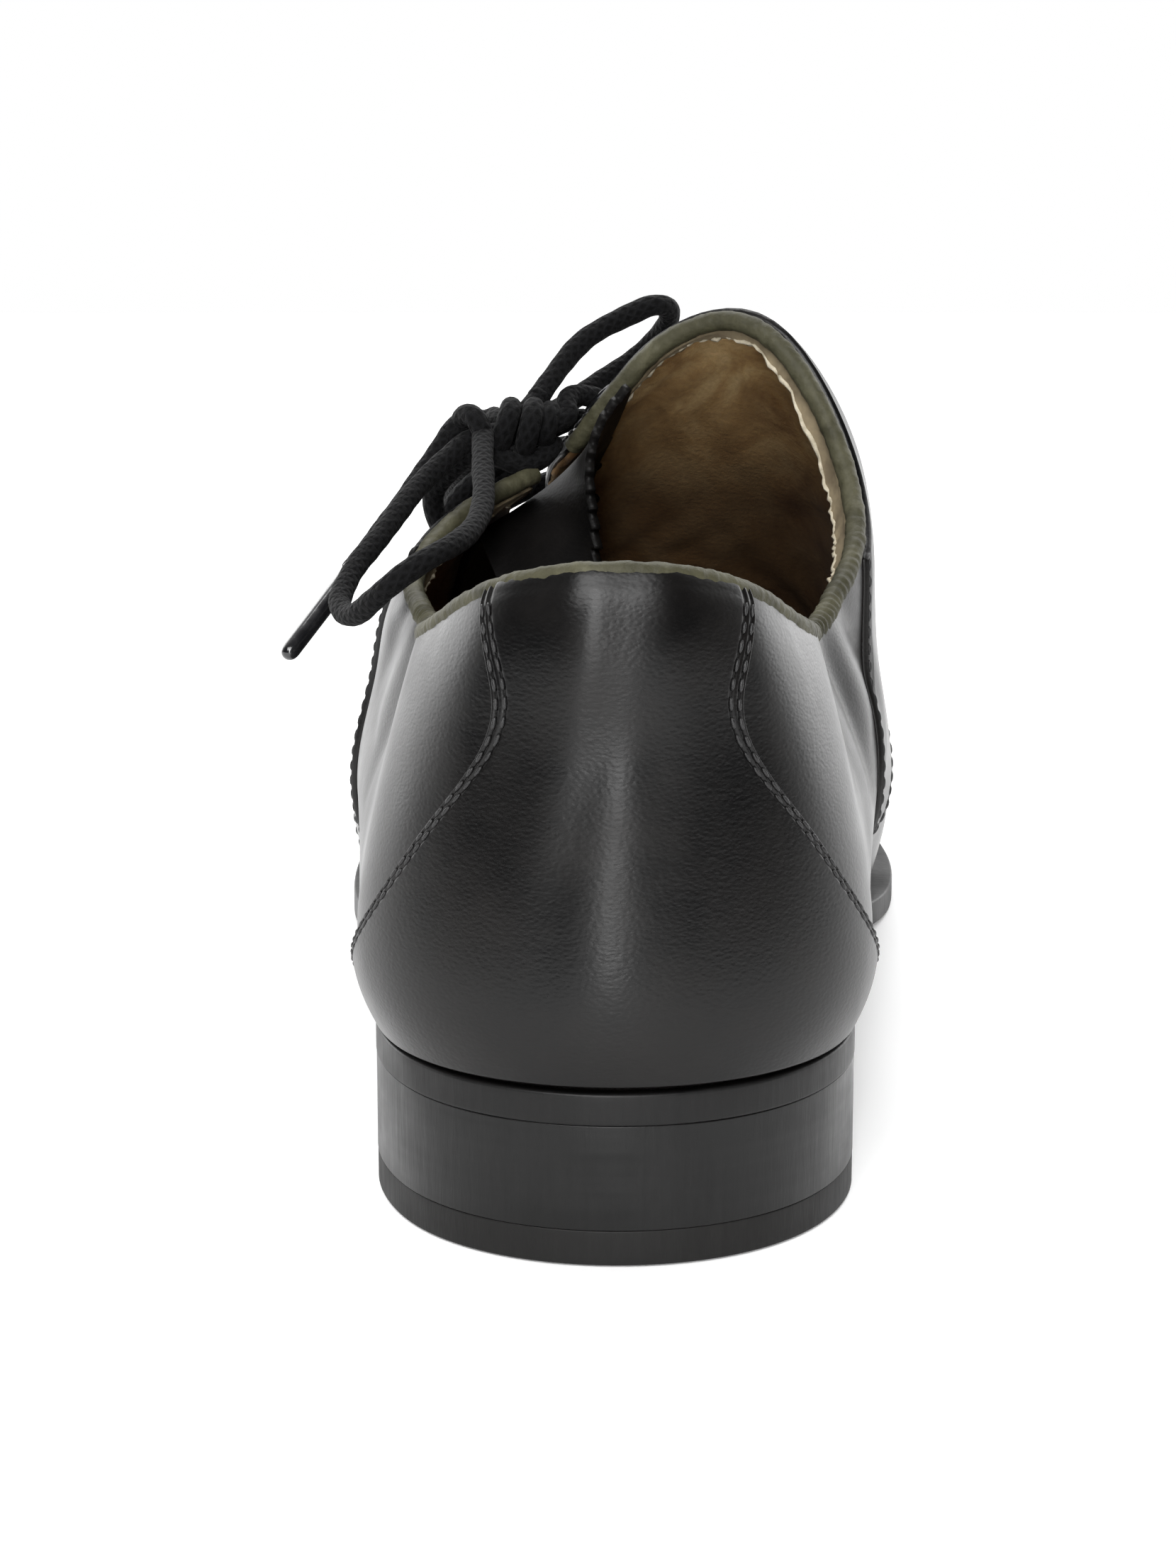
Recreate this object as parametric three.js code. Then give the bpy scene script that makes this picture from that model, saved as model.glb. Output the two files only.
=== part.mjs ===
// A left lace-up leather shoe with open lacing set towards the outer side of the instep, a bound topline,
// a back counter, quarter panels, a separate tongue, a flat leather sole and a low stacked heel. Millimetres,
// +Z up, +Y towards the toe and +X towards the inner (big toe) side of the foot. The origin is on the floor, at
// the middle of the heel's top piece. Inside this file y runs from the back of the heel, and the group that
// holds the pieces moves them to the origin.
import * as THREE from "three";
import { mergeVertices } from "three/addons/utils/BufferGeometryUtils.js";

// Driving dimensions.
const shoeLength = 298; // back of the heel to the tip of the toe, at the upper
const ballWidth = 100; // across the upper at the ball
const instepRise = 100; // ridge of the instep above the feather line
const heelHeight = 24.5; // floor to the top of the sole, at the back
const soleThickness = 4.5;
const topPieceThickness = 5;
const backLean = 2.5; // how far the counter's bulge stands behind the heel's back
const wall = 2.2; // leather and lining together
const fitGap = 0.35; // between pieces that touch
const overlayGap = 0.7; // between the wall and an overlay, whose facets lie differently
const overlayThickness = 0.9;
const tongueThickness = 2;
const tongueGap = 0.9; // below the facings
const insoleThickness = 2.5;
const insoleClearance = 1.2; // beside the insole
const bindingThickness = 3;
const bindingGap = 0.85; // between the cut edge and the binding's middle run
const laceDiameter = 3.6;
const laceGap = 0.6; // between an eyelet's rim and the lace that bends over it
const agletDiameter = 3;
const agletLength = 21;
const agletGap = 0.7; // between the lace's end and its aglet
const eyeletRadius = 3.5;
const eyeletBore = 2;
const eyeletHeight = 1;
const heelLength = 72; // back of the heel to its breast
const breastSag = 5; // how far the middle of the breast is hollowed
const originFromBack = 37; // middle of the top piece from the back of the heel
const ridgeBack = 36; // back end of the ridge that the sections rise to
const ridgeFront = 248; // its front end, over the toes
const soleMarginHeel = 1; // the sole beyond the upper at the heel
const soleMarginWaist = 0.9; // at the waist
const soleMarginBall = 3.6; // and at the ball and toe
const heelInset = 0.15; // each heel layer inside the sole's edge

// The last, a row for each station along the length. Widths are shares of ballWidth, on the outer (lateral) and
// inner (medial) side of the heel's middle line. ridge is the height of the ridge above the feather line, a share
// of instepRise, and crest how far the ridge lies to the inner side, a share of ballWidth. seat is the height of
// the sole's underside, a share of its height at the back.
const stations = [
  { at: 0, lateral: 0.378, medial: 0.378, crest: 0, ridge: 1.015, seat: 1 },
  { at: 0.12, lateral: 0.38, medial: 0.377, crest: 0.01, ridge: 1, seat: 0.99 },
  { at: 0.2, lateral: 0.39, medial: 0.39, crest: 0.045, ridge: 0.99, seat: 0.96 },
  { at: 0.3, lateral: 0.402, medial: 0.42, crest: 0.125, ridge: 0.99, seat: 0.82 },
  { at: 0.4, lateral: 0.422, medial: 0.452, crest: 0.16, ridge: 1.005, seat: 0.56 },
  { at: 0.5, lateral: 0.44, medial: 0.482, crest: 0.125, ridge: 0.915, seat: 0.25 },
  { at: 0.6, lateral: 0.46, medial: 0.51, crest: 0.11, ridge: 0.76, seat: 0.04 },
  { at: 0.7, lateral: 0.462, medial: 0.528, crest: 0.105, ridge: 0.6, seat: -0.02 },
  { at: 0.8, lateral: 0.44, medial: 0.5, crest: 0.1, ridge: 0.455, seat: 0.03 },
  { at: 0.9, lateral: 0.4, medial: 0.45, crest: 0.1, ridge: 0.35, seat: 0.17 },
  { at: 1, lateral: 0.36, medial: 0.4, crest: 0.1, ridge: 0.265, seat: 0.4 },
];

// The form of each side's cross-section, as places on it from the feather line up to the ridge: how far out each
// lies, a share of the way from ridge to outline, and how high, a share of the way from feather line to ridge.
const table = (names, rows) => rows.map((row) => Object.fromEntries(names.map((name, i) => [name, row[i]])));
const formColumns = ["at", "foot", "lowOut", "lowUp", "wallOut", "wallUp", "topOut", "topUp", "nearOut", "nearUp"];
const lateralForm = table(formColumns, [
  [0, 0.955, 0.98, 0.14, 0.88, 0.46, 0.78, 0.7, 0.4, 0.88],
  [0.035, 0.93, 0.98, 0.14, 0.85, 0.46, 0.67, 0.7, 0.38, 0.88],
  [0.08, 0.9, 0.98, 0.14, 0.83, 0.46, 0.61, 0.7, 0.36, 0.88],
  [0.14, 0.89, 0.98, 0.14, 0.82, 0.46, 0.61, 0.69, 0.35, 0.88],
  [0.2, 0.875, 0.985, 0.15, 0.81, 0.46, 0.64, 0.67, 0.35, 0.875],
  [0.3, 0.85, 1, 0.2, 0.92, 0.45, 0.75, 0.66, 0.31, 0.9],
  [0.35, 0.85, 1, 0.21, 0.945, 0.44, 0.73, 0.69, 0.27, 0.92],
  [0.4, 0.855, 1, 0.21, 0.94, 0.43, 0.7, 0.7, 0.26, 0.925],
  [0.5, 0.895, 1, 0.2, 0.92, 0.48, 0.62, 0.785, 0.3, 0.93],
  [0.6, 0.95, 1, 0.21, 0.92, 0.5, 0.6, 0.82, 0.31, 0.94],
  [0.7, 0.965, 1, 0.22, 0.92, 0.5, 0.6, 0.84, 0.31, 0.95],
  [1, 0.96, 1, 0.25, 0.93, 0.56, 0.62, 0.86, 0.31, 0.95],
]);
const medialForm = table(formColumns, [
  [0, 0.955, 0.98, 0.14, 0.88, 0.46, 0.78, 0.7, 0.4, 0.88],
  [0.035, 0.93, 0.98, 0.14, 0.85, 0.46, 0.67, 0.7, 0.38, 0.88],
  [0.08, 0.905, 0.98, 0.14, 0.83, 0.46, 0.61, 0.7, 0.36, 0.88],
  [0.14, 0.88, 0.98, 0.14, 0.82, 0.46, 0.61, 0.69, 0.35, 0.88],
  [0.2, 0.8, 0.985, 0.16, 0.81, 0.46, 0.64, 0.67, 0.35, 0.88],
  [0.3, 0.52, 0.97, 0.22, 0.92, 0.5, 0.81, 0.75, 0.41, 0.96],
  [0.35, 0.39, 0.95, 0.23, 0.92, 0.48, 0.8, 0.78, 0.41, 0.967],
  [0.4, 0.34, 0.93, 0.23, 0.92, 0.47, 0.785, 0.8, 0.42, 0.967],
  [0.5, 0.57, 0.97, 0.2, 0.92, 0.49, 0.7, 0.83, 0.36, 0.96],
  [0.6, 0.86, 1, 0.21, 0.92, 0.5, 0.64, 0.84, 0.33, 0.95],
  [0.7, 0.94, 1, 0.22, 0.92, 0.5, 0.6, 0.84, 0.31, 0.95],
  [1, 0.96, 1, 0.25, 0.93, 0.56, 0.62, 0.86, 0.31, 0.95],
]);
// Where those places stand across the section: 1 is the feather line and 0 the ridge.
const formAcross = { foot: 1, low: 0.8, wall: 0.55, top: 0.3, near: 0.15 };
// The round ends of the outline: reach is a share of shoeLength, power that of the round.
const heelRound = { reach: 0.125, power: 2 };
const toeRound = { reach: 0.22, power: 2.2 };
// The outer quarter dips beside the hood that the inner one makes over the ridge: where, how far and how deep.
const dip = { at: 0.42, reach: 0.11, across: -0.22, spread: 0.12, depth: 4.5 };

// The cut edge of the opening on each side, back to front: across is 1 at the inner feather line, 0 on the ridge
// and -1 at the outer feather line. The inner quarter climbs over the ridge and ends on the outer slope.
const medialEdge = [
  { at: 0, across: 0.325 },
  { at: 0.04, across: 0.385 },
  { at: 0.08, across: 0.44 },
  { at: 0.14, across: 0.475 },
  { at: 0.2, across: 0.484 },
  { at: 0.245, across: 0.455 },
  { at: 0.285, across: 0.408 },
  { at: 0.325, across: 0.335 },
  { at: 0.353, across: 0.2 },
  { at: 0.374, across: 0 },
  { at: 0.399, across: -0.13 },
  { at: 0.43, across: -0.19 },
  { at: 0.46, across: -0.2 },
  { at: 0.61, across: -0.18 },
  { at: 1, across: 0.2 },
];
const lateralEdge = [
  { at: 0, across: -0.325 },
  { at: 0.04, across: -0.385 },
  { at: 0.08, across: -0.44 },
  { at: 0.14, across: -0.475 },
  { at: 0.2, across: -0.478 },
  { at: 0.245, across: -0.435 },
  { at: 0.285, across: -0.388 },
  { at: 0.335, across: -0.35 },
  { at: 0.375, across: -0.29 },
  { at: 0.405, across: -0.24 },
  { at: 0.43, across: -0.245 },
  { at: 0.61, across: -0.25 },
  { at: 1, across: -0.2 },
];
const throatAt = 0.61; // front end of the lacing gap
const topline = { lateralTip: 0.405, medialTip: 0.43 }; // stations where the bound edge ends

// The counter's front edge, from the opening (down 0) to the feather line (down 1): at is how far forward it lies.
const counterEdge = [
  { down: 0, at: 0.027 },
  { down: 0.16, at: 0.02 },
  { down: 0.26, at: 0.018 },
  { down: 0.33, at: 0.022 },
  { down: 0.38, at: 0.03 },
  { down: 0.44, at: 0.045 },
  { down: 0.52, at: 0.067 },
  { down: 0.63, at: 0.1 },
  { down: 0.77, at: 0.135 },
  { down: 1, at: 0.165 },
];
// The quarter panels' back and front edges, from the opening to the feather line in the same way.
const medialPanel = [
  { down: 0, back: 0.29, front: 0.6 },
  { down: 0.25, back: 0.287, front: 0.585 },
  { down: 0.5, back: 0.283, front: 0.555 },
  { down: 0.7, back: 0.287, front: 0.525 },
  { down: 0.85, back: 0.33, front: 0.495 },
  { down: 1, back: 0.4, front: 0.47 },
];
const lateralPanel = [
  { down: 0, back: 0.345, front: 0.6 },
  { down: 0.25, back: 0.365, front: 0.585 },
  { down: 0.5, back: 0.375, front: 0.555 },
  { down: 0.7, back: 0.38, front: 0.53 },
  { down: 0.85, back: 0.4, front: 0.505 },
  { down: 1, back: 0.43, front: 0.48 },
];
const overlayTop = 0.012; // where the panels and the counter begin, just below the opening
const overlayHem = 0.965; // and where they end, just above the sole

// The eyelet pairs: stations from the top of the facings to the throat.
const eyelets = { first: 0.445, step: 0.04, count: 4, medial: -0.15, lateral: -0.335, spread: 0.006 };

// The tongue: its front end lies under the vamp, and its free end droops into the shoe.
const tongueFrontAt = 0.65;
const tongueBendAt = 0.43; // where it leaves the facings
const tongueSides = { lateral: -0.4, medial: -0.135 };
const tongueNarrow = -0.3; // its outer side where it leaves the facings
// The drooping end of the tongue, from its outer to its inner corner: x a share of ballWidth, y of shoeLength from
// the back of the heel, and z of instepRise.
const tongueEnd = [
  { across: 0, x: -0.15, y: 0.356, z: 0.7 },
  { across: 0.3, x: -0.105, y: 0.339, z: 0.68 },
  { across: 0.55, x: -0.02, y: 0.342, z: 0.78 },
  { across: 0.75, x: -0.038, y: 0.356, z: 0.93 },
  { across: 0.9, x: -0.015, y: 0.362, z: 1.03 },
  { across: 1, x: 0.03, y: 0.366, z: 1.08 },
];

// A smooth curve through points, with no bend at its ends.
function smooth(xs, ys) {
  const n = xs.length;
  const bend = new Array(n).fill(0);
  const carry = new Array(n).fill(0);
  for (let i = 1; i < n - 1; i++) {
    const share = (xs[i] - xs[i - 1]) / (xs[i + 1] - xs[i - 1]);
    const weight = share * bend[i - 1] + 2;
    bend[i] = (share - 1) / weight;
    const turn = (ys[i + 1] - ys[i]) / (xs[i + 1] - xs[i]) - (ys[i] - ys[i - 1]) / (xs[i] - xs[i - 1]);
    carry[i] = ((6 * turn) / (xs[i + 1] - xs[i - 1]) - share * carry[i - 1]) / weight;
  }
  for (let i = n - 2; i >= 0; i--) bend[i] = bend[i] * bend[i + 1] + carry[i];
  return (x) => {
    let k = 0;
    while (k < n - 2 && x > xs[k + 1]) k++;
    const step = xs[k + 1] - xs[k];
    const a = (xs[k + 1] - x) / step;
    const b = (x - xs[k]) / step;
    return a * ys[k] + b * ys[k + 1] + (((a ** 3 - a) * bend[k] + (b ** 3 - b) * bend[k + 1]) * step ** 2) / 6;
  };
}
const column = (rows, name, by = "at") => smooth(rows.map((r) => r[by]), rows.map((r) => r[name]));
const columns = (rows, by = "at") =>
  Object.fromEntries(Object.keys(rows[0]).filter((k) => k !== by).map((k) => [k, column(rows, k, by)]));
const last = columns(stations);
const forms = { [-1]: columns(lateralForm), 1: columns(medialForm) };
const edges = { [-1]: column(lateralEdge, "across"), 1: column(medialEdge, "across") };
const lerp = (a, b, share) => a + (b - a) * share;
const steps = (count) => Array.from({ length: count + 1 }, (_, i) => i / count);

// Columns of the last are numbered 0 to 1. They stand closer together near the round ends, where a column's
// station grows with the square of its number.
const slowBack = 0.12;
const slowFront = 0.16;
const pace = 1 / (1 - slowBack / 2 - slowFront / 2);
function stationOf(u) {
  if (u < slowBack) return (pace * u * u) / (2 * slowBack);
  if (u > 1 - slowFront) return 1 - (pace * (1 - u) ** 2) / (2 * slowFront);
  return pace * (u - slowBack / 2);
}
function columnOf(at) {
  if (at < (pace * slowBack) / 2) return Math.sqrt((2 * slowBack * at) / pace);
  if (at > 1 - (pace * slowFront) / 2) return 1 - Math.sqrt((2 * slowFront * (1 - at)) / pace);
  return at / pace + slowBack / 2;
}

// Height of the sole's underside, which is flat on the floor under the ball, and of its top.
function ground(y) {
  const at = Math.min(Math.max((y + backLean) / shoeLength, 0), 1);
  return Math.max(last.seat(at), 0) * (heelHeight - soleThickness);
}
const soleTop = (y) => ground(y) + soleThickness;

// How much of its width the outline has near its round ends.
function roundness(at) {
  const round = (far, { reach, power }) => (far >= reach ? 1 : (1 - (1 - far / reach) ** power) ** (1 / power));
  return round(at, heelRound) * round(1 - at, toeRound);
}

// 1 in the middle, and 0 a full reach to either side.
const swell = (share) => (Math.abs(share) < 1 ? (1 + Math.cos(Math.PI * share)) / 2 : 0);

// The section of the last at a column, as a smooth curve from the outer feather line (-1) over the ridge (0) to
// the inner feather line (1).
const sections = new Map();
function section(u) {
  if (sections.has(u)) return sections.get(u);
  const at = stationOf(u);
  const crest = last.crest(at) * ballWidth;
  const spineY = lerp(ridgeBack, ridgeFront, at);
  const outlineY = at * shoeLength - backLean;
  const base = soleTop(outlineY) + fitGap;
  const rise = last.ridge(at) * instepRise;
  const places = [{ across: 0, x: crest, y: spineY, z: base + rise }];
  for (const side of [-1, 1]) {
    const form = forms[side];
    const half = (last[side < 0 ? "lateral" : "medial"](at) * ballWidth - side * crest) * roundness(at);
    for (const [name, across] of Object.entries(formAcross)) {
      const out = name === "foot" ? form.foot(at) : form[name + "Out"](at);
      const y = lerp(spineY, outlineY, out);
      const z = name === "foot" ? soleTop(y) + fitGap : base + rise * form[name + "Up"](at);
      places.push({ across: side * across, x: crest + side * half * out, y, z });
    }
  }
  places.sort((a, b) => a.across - b.across);
  const curve = ["x", "y", "z"].map((axis) => column(places, axis, "across"));
  const sunk = dip.depth * swell((at - dip.at) / dip.reach);
  const made = (w) => {
    const drop = sunk * swell((w - dip.across) / dip.spread);
    return new THREE.Vector3(curve[0](w), curve[1](w), curve[2](w) - drop);
  };
  sections.set(u, made);
  return made;
}

// A point on the last's surface, lifted off it along its outward direction.
const nudge = 1e-4;
function outward(u, w) {
  const turned = Math.abs(w) < 0.05 && u > 1 - nudge ? 0.05 : w;
  const [u0, u1] = u < 0.5 ? [u, u + nudge] : [u - nudge, u];
  const along = section(u1)(turned).sub(section(u0)(turned));
  const around = section(u)(turned + nudge).sub(section(u)(turned - nudge));
  const direction = around.cross(along);
  if (u === 0 || u === 1) direction.x = 0;
  return direction.normalize();
}
const skin = (u, w, lift = 0) => section(u)(w).addScaledVector(outward(u, w), lift);

// A closed body from corners and faces. Corners that coincide are joined, and faces that shrank to a line go.
function body(corners, faces) {
  const loose = new THREE.BufferGeometry();
  loose.setAttribute("position", new THREE.Float32BufferAttribute(corners.flatMap((p) => p.toArray()), 3));
  loose.setIndex(faces.flat());
  return closed(loose);
}
function closed(loose) {
  loose.deleteAttribute("normal");
  loose.deleteAttribute("uv");
  const joined = mergeVertices(loose, 1e-3);
  const index = Array.from(joined.index.array);
  const kept = [];
  for (let i = 0; i < index.length; i += 3) {
    const [a, b, c] = index.slice(i, i + 3);
    if (a !== b && b !== c && c !== a) kept.push(a, b, c);
  }
  joined.setIndex(kept);
  joined.computeVertexNormals();
  return joined;
}

// A wall between two grids of points, [column][row]. Cells that are not present leave openings, and every edge
// of the wall is closed by a rim, except along a folded end, where the two halves of that column coincide. Each
// cell is split along its shorter diagonal.
function wallBetween(outer, inner, { present = () => true, foldedBack = false, foldedFront = false } = {}) {
  const rows = outer[0].length;
  const corners = [...outer.flat(), ...inner.flat()];
  const half = outer.length * rows;
  const faces = [];
  const quad = (a, b, c, d) => faces.push([a, b, c], [a, c, d]);
  const has = (k, r) => k >= 0 && k < outer.length - 1 && r >= 0 && r < rows - 1 && present(k, r);
  for (let k = 0; k < outer.length - 1; k++) {
    for (let r = 0; r < rows - 1; r++) {
      if (!has(k, r)) continue;
      const [a, b, c, d] = [k * rows + r, k * rows + r + 1, (k + 1) * rows + r + 1, (k + 1) * rows + r];
      const halves = corners[a].distanceTo(corners[c]) < corners[b].distanceTo(corners[d])
        ? [[a, b, c], [a, c, d]]
        : [[a, b, d], [b, c, d]];
      for (const [p, q, t] of halves) faces.push([p, q, t], [half + p, half + t, half + q]);
      const open = [
        [a, b, !has(k - 1, r) && !(k === 0 && foldedBack)],
        [b, c, !has(k, r + 1)],
        [c, d, !has(k + 1, r) && !(k === outer.length - 2 && foldedFront)],
        [d, a, !has(k, r - 1)],
      ];
      for (const [p, q, isOpen] of open) if (isOpen) quad(q, p, half + p, half + q);
    }
  }
  return body(corners, faces);
}

// The upper: one wall with its opening from the collar to the throat, and open underneath.
const hood = { from: 0.33, to: 0.44 }; // where the columns stand closer, round the inner quarter's hood
const between = (from, to, count) => steps(count).slice(1).map((s) => lerp(columnOf(from), columnOf(to), s));
const openColumns = [
  0,
  ...between(0, hood.from, 15),
  ...between(hood.from, hood.to, 10),
  ...between(hood.to, throatAt, 8),
];
const upperColumns = [...openColumns, ...between(throatAt, 1, 15)];
// Rows on each side, as shares from the opening down to the feather line, closer where the form is rounder.
const rowShares = [0, 0.05, 0.11, 0.18, 0.26, 0.35, 0.45, 0.56, 0.67, 0.78, 0.89, 1];
const upperRows = rowShares.length - 1;
const vampRows = 4; // between them, ahead of the throat
function upperAcross(u) {
  const at = stationOf(u);
  const outer = rowShares.toReversed().map((s) => lerp(edges[-1](at), -1, s));
  const inner = rowShares.map((s) => lerp(edges[1](at), 1, s));
  const vamp = steps(vampRows).slice(1, -1).map((s) => lerp(edges[-1](at), edges[1](at), s));
  return [...outer, ...vamp, ...inner];
}
function upper() {
  const grid = (lift) => upperColumns.map((u) => upperAcross(u).map((w) => skin(u, w, lift)));
  const present = (k, r) => k >= openColumns.length - 1 || r < upperRows || r >= upperRows + vampRows;
  return wallBetween(grid(0), grid(-wall), { present, foldedBack: true, foldedFront: true });
}

// The foot's outline in plan, moved outwards by a margin, on one side at a column.
function outlineAt(u, side, margin) {
  const p = section(u)(side);
  const [u0, u1] = u < 0.5 ? [u, u + nudge] : [u - nudge, u];
  const run = section(u1)(side).sub(section(u0)(side));
  if (u === 0) run.y = 0;
  if (u === 1) run.y = 0;
  const long = Math.hypot(run.x, run.y);
  return new THREE.Vector2(p.x + (side * run.y * margin) / long, p.y - (side * run.x * margin) / long);
}
// A flat piece between two heights, with the foot's outline, over columns up to a last one. bow pulls the points
// between the edges back, more towards the front end.
function slab(us, margin, top, bottom, { across = 4, bow = 0 } = {}) {
  const place = (u, s) => {
    const left = outlineAt(u, -1, margin(stationOf(u)));
    const right = outlineAt(u, 1, margin(stationOf(u)));
    const y = lerp(left.y, right.y, s) - bow * (1 - (2 * s - 1) ** 2) * (u / us[us.length - 1]) ** 4;
    return [lerp(left.x, right.x, s), y];
  };
  const grid = (height) =>
    us.map((u) =>
      steps(across).map((s) => {
        const [x, y] = place(u, s);
        return new THREE.Vector3(x, y, height(y));
      }),
    );
  return wallBetween(grid(top), grid(bottom));
}
const soleMargin = smooth(
  [0, 0.2, 0.4, 0.6, 1],
  [soleMarginHeel, soleMarginHeel, soleMarginWaist, soleMarginBall, soleMarginBall],
);
const heelMargin = (at) => soleMargin(at) - heelInset;
const heelColumns = steps(14).map((s) => s * columnOf((heelLength + backLean) / shoeLength));
const outsole = () => slab(steps(44), soleMargin, soleTop, ground, { across: 2 });
const insole = () =>
  slab(
    steps(26),
    () => -(wall + insoleClearance),
    (y) => soleTop(y) + fitGap + insoleThickness,
    (y) => soleTop(y) + fitGap,
    { across: 2 },
  );
const heelStack = () =>
  slab(heelColumns, heelMargin, (y) => ground(y) - fitGap, () => topPieceThickness + fitGap, { bow: breastSag });
const topPiece = () => slab(heelColumns, heelMargin, () => topPieceThickness, () => 0, { bow: breastSag });

// An overlay on one side of the wall: a thin shell between a back and a front edge, each given for every row.
// Its rows are the wall's own, so that the two lie evenly on each other.
const overlayRows = [overlayTop, ...rowShares.slice(1, -1), overlayHem];
const onWall = (u, side, down, lift) => skin(u, lerp(edges[side](stationOf(u)), side, down), lift);

// The counter wraps round the back, from its front edge on one side to that on the other. It has the wall's own
// columns, each held behind that edge.
function counter() {
  const front = column(counterEdge, "at", "down");
  const most = columnOf(Math.max(...counterEdge.map((row) => row.at)));
  const reached = openColumns.filter((u, k) => k === 0 || openColumns[k - 1] < most);
  const held = (u, side, down, lift) => onWall(Math.min(u, columnOf(front(down))), side, down, lift);
  const grid = (lift) => [
    ...reached.slice(1).toReversed().map((u) => overlayRows.map((down) => held(u, -1, down, lift))),
    ...reached.map((u) => overlayRows.map((down) => held(u, 1, down, lift))),
  ];
  return wallBetween(grid(overlayGap + overlayThickness), grid(overlayGap));
}

// A quarter panel runs from its back seam forward over the facing to the throat, and down to the sole. It has the
// wall's own columns too, each held between the panel's two edges.
function quarterPanel(side, table) {
  const bounds = columns(table, "down");
  const rows = side > 0 ? overlayRows : overlayRows.toReversed();
  const held = (u, down) => Math.min(Math.max(u, columnOf(bounds.back(down))), columnOf(bounds.front(down)));
  const first = columnOf(Math.min(...table.map((row) => row.back)));
  const reached = openColumns.filter((u, k) => openColumns[k + 1] > first);
  const grid = (lift) => reached.map((u) => rows.map((down) => onWall(held(u, down), side, down, lift)));
  return wallBetween(grid(overlayGap + overlayThickness), grid(overlayGap));
}

// The tongue follows the inside of the facings, then bends down to its free end.
function tongue() {
  const under = -(wall + tongueGap + tongueThickness / 2);
  const end = columns(tongueEnd, "across");
  const middle = (s, t) => {
    const lateral = lerp(tongueSides.lateral, tongueNarrow, Math.min(s, 1) ** 3);
    const w = lerp(lateral, tongueSides.medial, t);
    if (s <= 1) return skin(columnOf(lerp(tongueFrontAt, tongueBendAt, s)), w, under);
    const share = s - 1;
    const leave = skin(columnOf(tongueBendAt), w, under);
    const ahead = skin(columnOf(tongueBendAt - 0.03), w, under);
    const free = new THREE.Vector3(end.x(t) * ballWidth, end.y(t) * shoeLength, end.z(t) * instepRise);
    return leave
      .multiplyScalar((1 - share) ** 2)
      .addScaledVector(ahead, 2 * share * (1 - share))
      .addScaledVector(free, share ** 2);
  };
  const face = (s, t, lift) => {
    const step = 1e-3;
    const along = middle(Math.max(s - step, 0), t).sub(middle(s + step, t));
    const across = middle(s, t + step).sub(middle(s, t - step));
    return middle(s, t).addScaledVector(across.cross(along).normalize(), lift);
  };
  const lengths = [...steps(7), 1.2, 1.4, 1.6, 1.8, 1.998];
  const grid = (lift) => lengths.toReversed().map((s) => steps(10).map((t) => face(s, t, lift)));
  return wallBetween(grid(tongueThickness / 2), grid(-tongueThickness / 2));
}

// A round cord or rolled edge along a smooth curve through points.
function cordAlong(points, diameter, segments, sides = 8) {
  const corner = (turn) => new THREE.Vector2(Math.cos(turn), Math.sin(turn)).multiplyScalar(diameter / 2);
  const ring = new THREE.Shape(steps(sides).slice(0, -1).map((s) => corner(s * 2 * Math.PI)));
  const extrudePath = new THREE.CatmullRomCurve3(points, false, "centripetal");
  return closed(new THREE.ExtrudeGeometry(ring, { steps: segments, extrudePath, bevelEnabled: false }));
}

// The binding is a rolled strip on the cut edge, from the tip of one quarter round the back to the other's.
function binding() {
  const route = [
    ...steps(20).map((s) => [-1, lerp(columnOf(topline.lateralTip), 0, s)]),
    ...steps(26).slice(1).map((s) => [1, lerp(0, columnOf(topline.medialTip), s)]),
  ];
  const middle = route.map(([side, u]) => skin(u, edges[side](stationOf(u)), -wall / 2));
  const raised = middle.map((p, i) => {
    const [side, u] = route[i];
    const run = middle[Math.min(i + 1, route.length - 1)].clone().sub(middle[Math.max(i - 1, 0)]).normalize();
    const up = run.cross(outward(u, edges[side](stationOf(u)))).normalize();
    return p.clone().addScaledVector(up, -(bindingThickness / 2 + bindingGap));
  });
  return cordAlong(raised, bindingThickness, 48, 6);
}

// Eyelets stand on the quarter panels, and the lace's bars run from each to its partner.
const panelTop = overlayGap + overlayThickness;
const eyeletSeat = panelTop + fitGap;
const barLift = eyeletSeat + eyeletHeight + laceGap + laceDiameter / 2;
const eyeletPlace = (pair, side) => {
  const across = side > 0 ? eyelets.medial : eyelets.lateral;
  const apart = side * pair * eyelets.spread;
  return [columnOf(eyelets.first + pair * eyelets.step), across + apart];
};
function eyelet() {
  const half = [eyeletBore, eyeletRadius];
  const profile = [
    new THREE.Vector2(half[0], 0),
    new THREE.Vector2(half[1], 0),
    new THREE.Vector2(half[1] - 0.4, eyeletHeight),
    new THREE.Vector2(half[0] + 0.4, eyeletHeight),
    new THREE.Vector2(half[0], 0),
  ];
  return closed(new THREE.LatheGeometry(profile, 10));
}
function laceBar(pair) {
  const [u, lateral] = eyeletPlace(pair, -1);
  const [, medial] = eyeletPlace(pair, 1);
  const points = steps(6).map((s) => skin(u, lerp(lateral, medial, s), barLift));
  return cordAlong(points, laceDiameter, 9);
}

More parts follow.
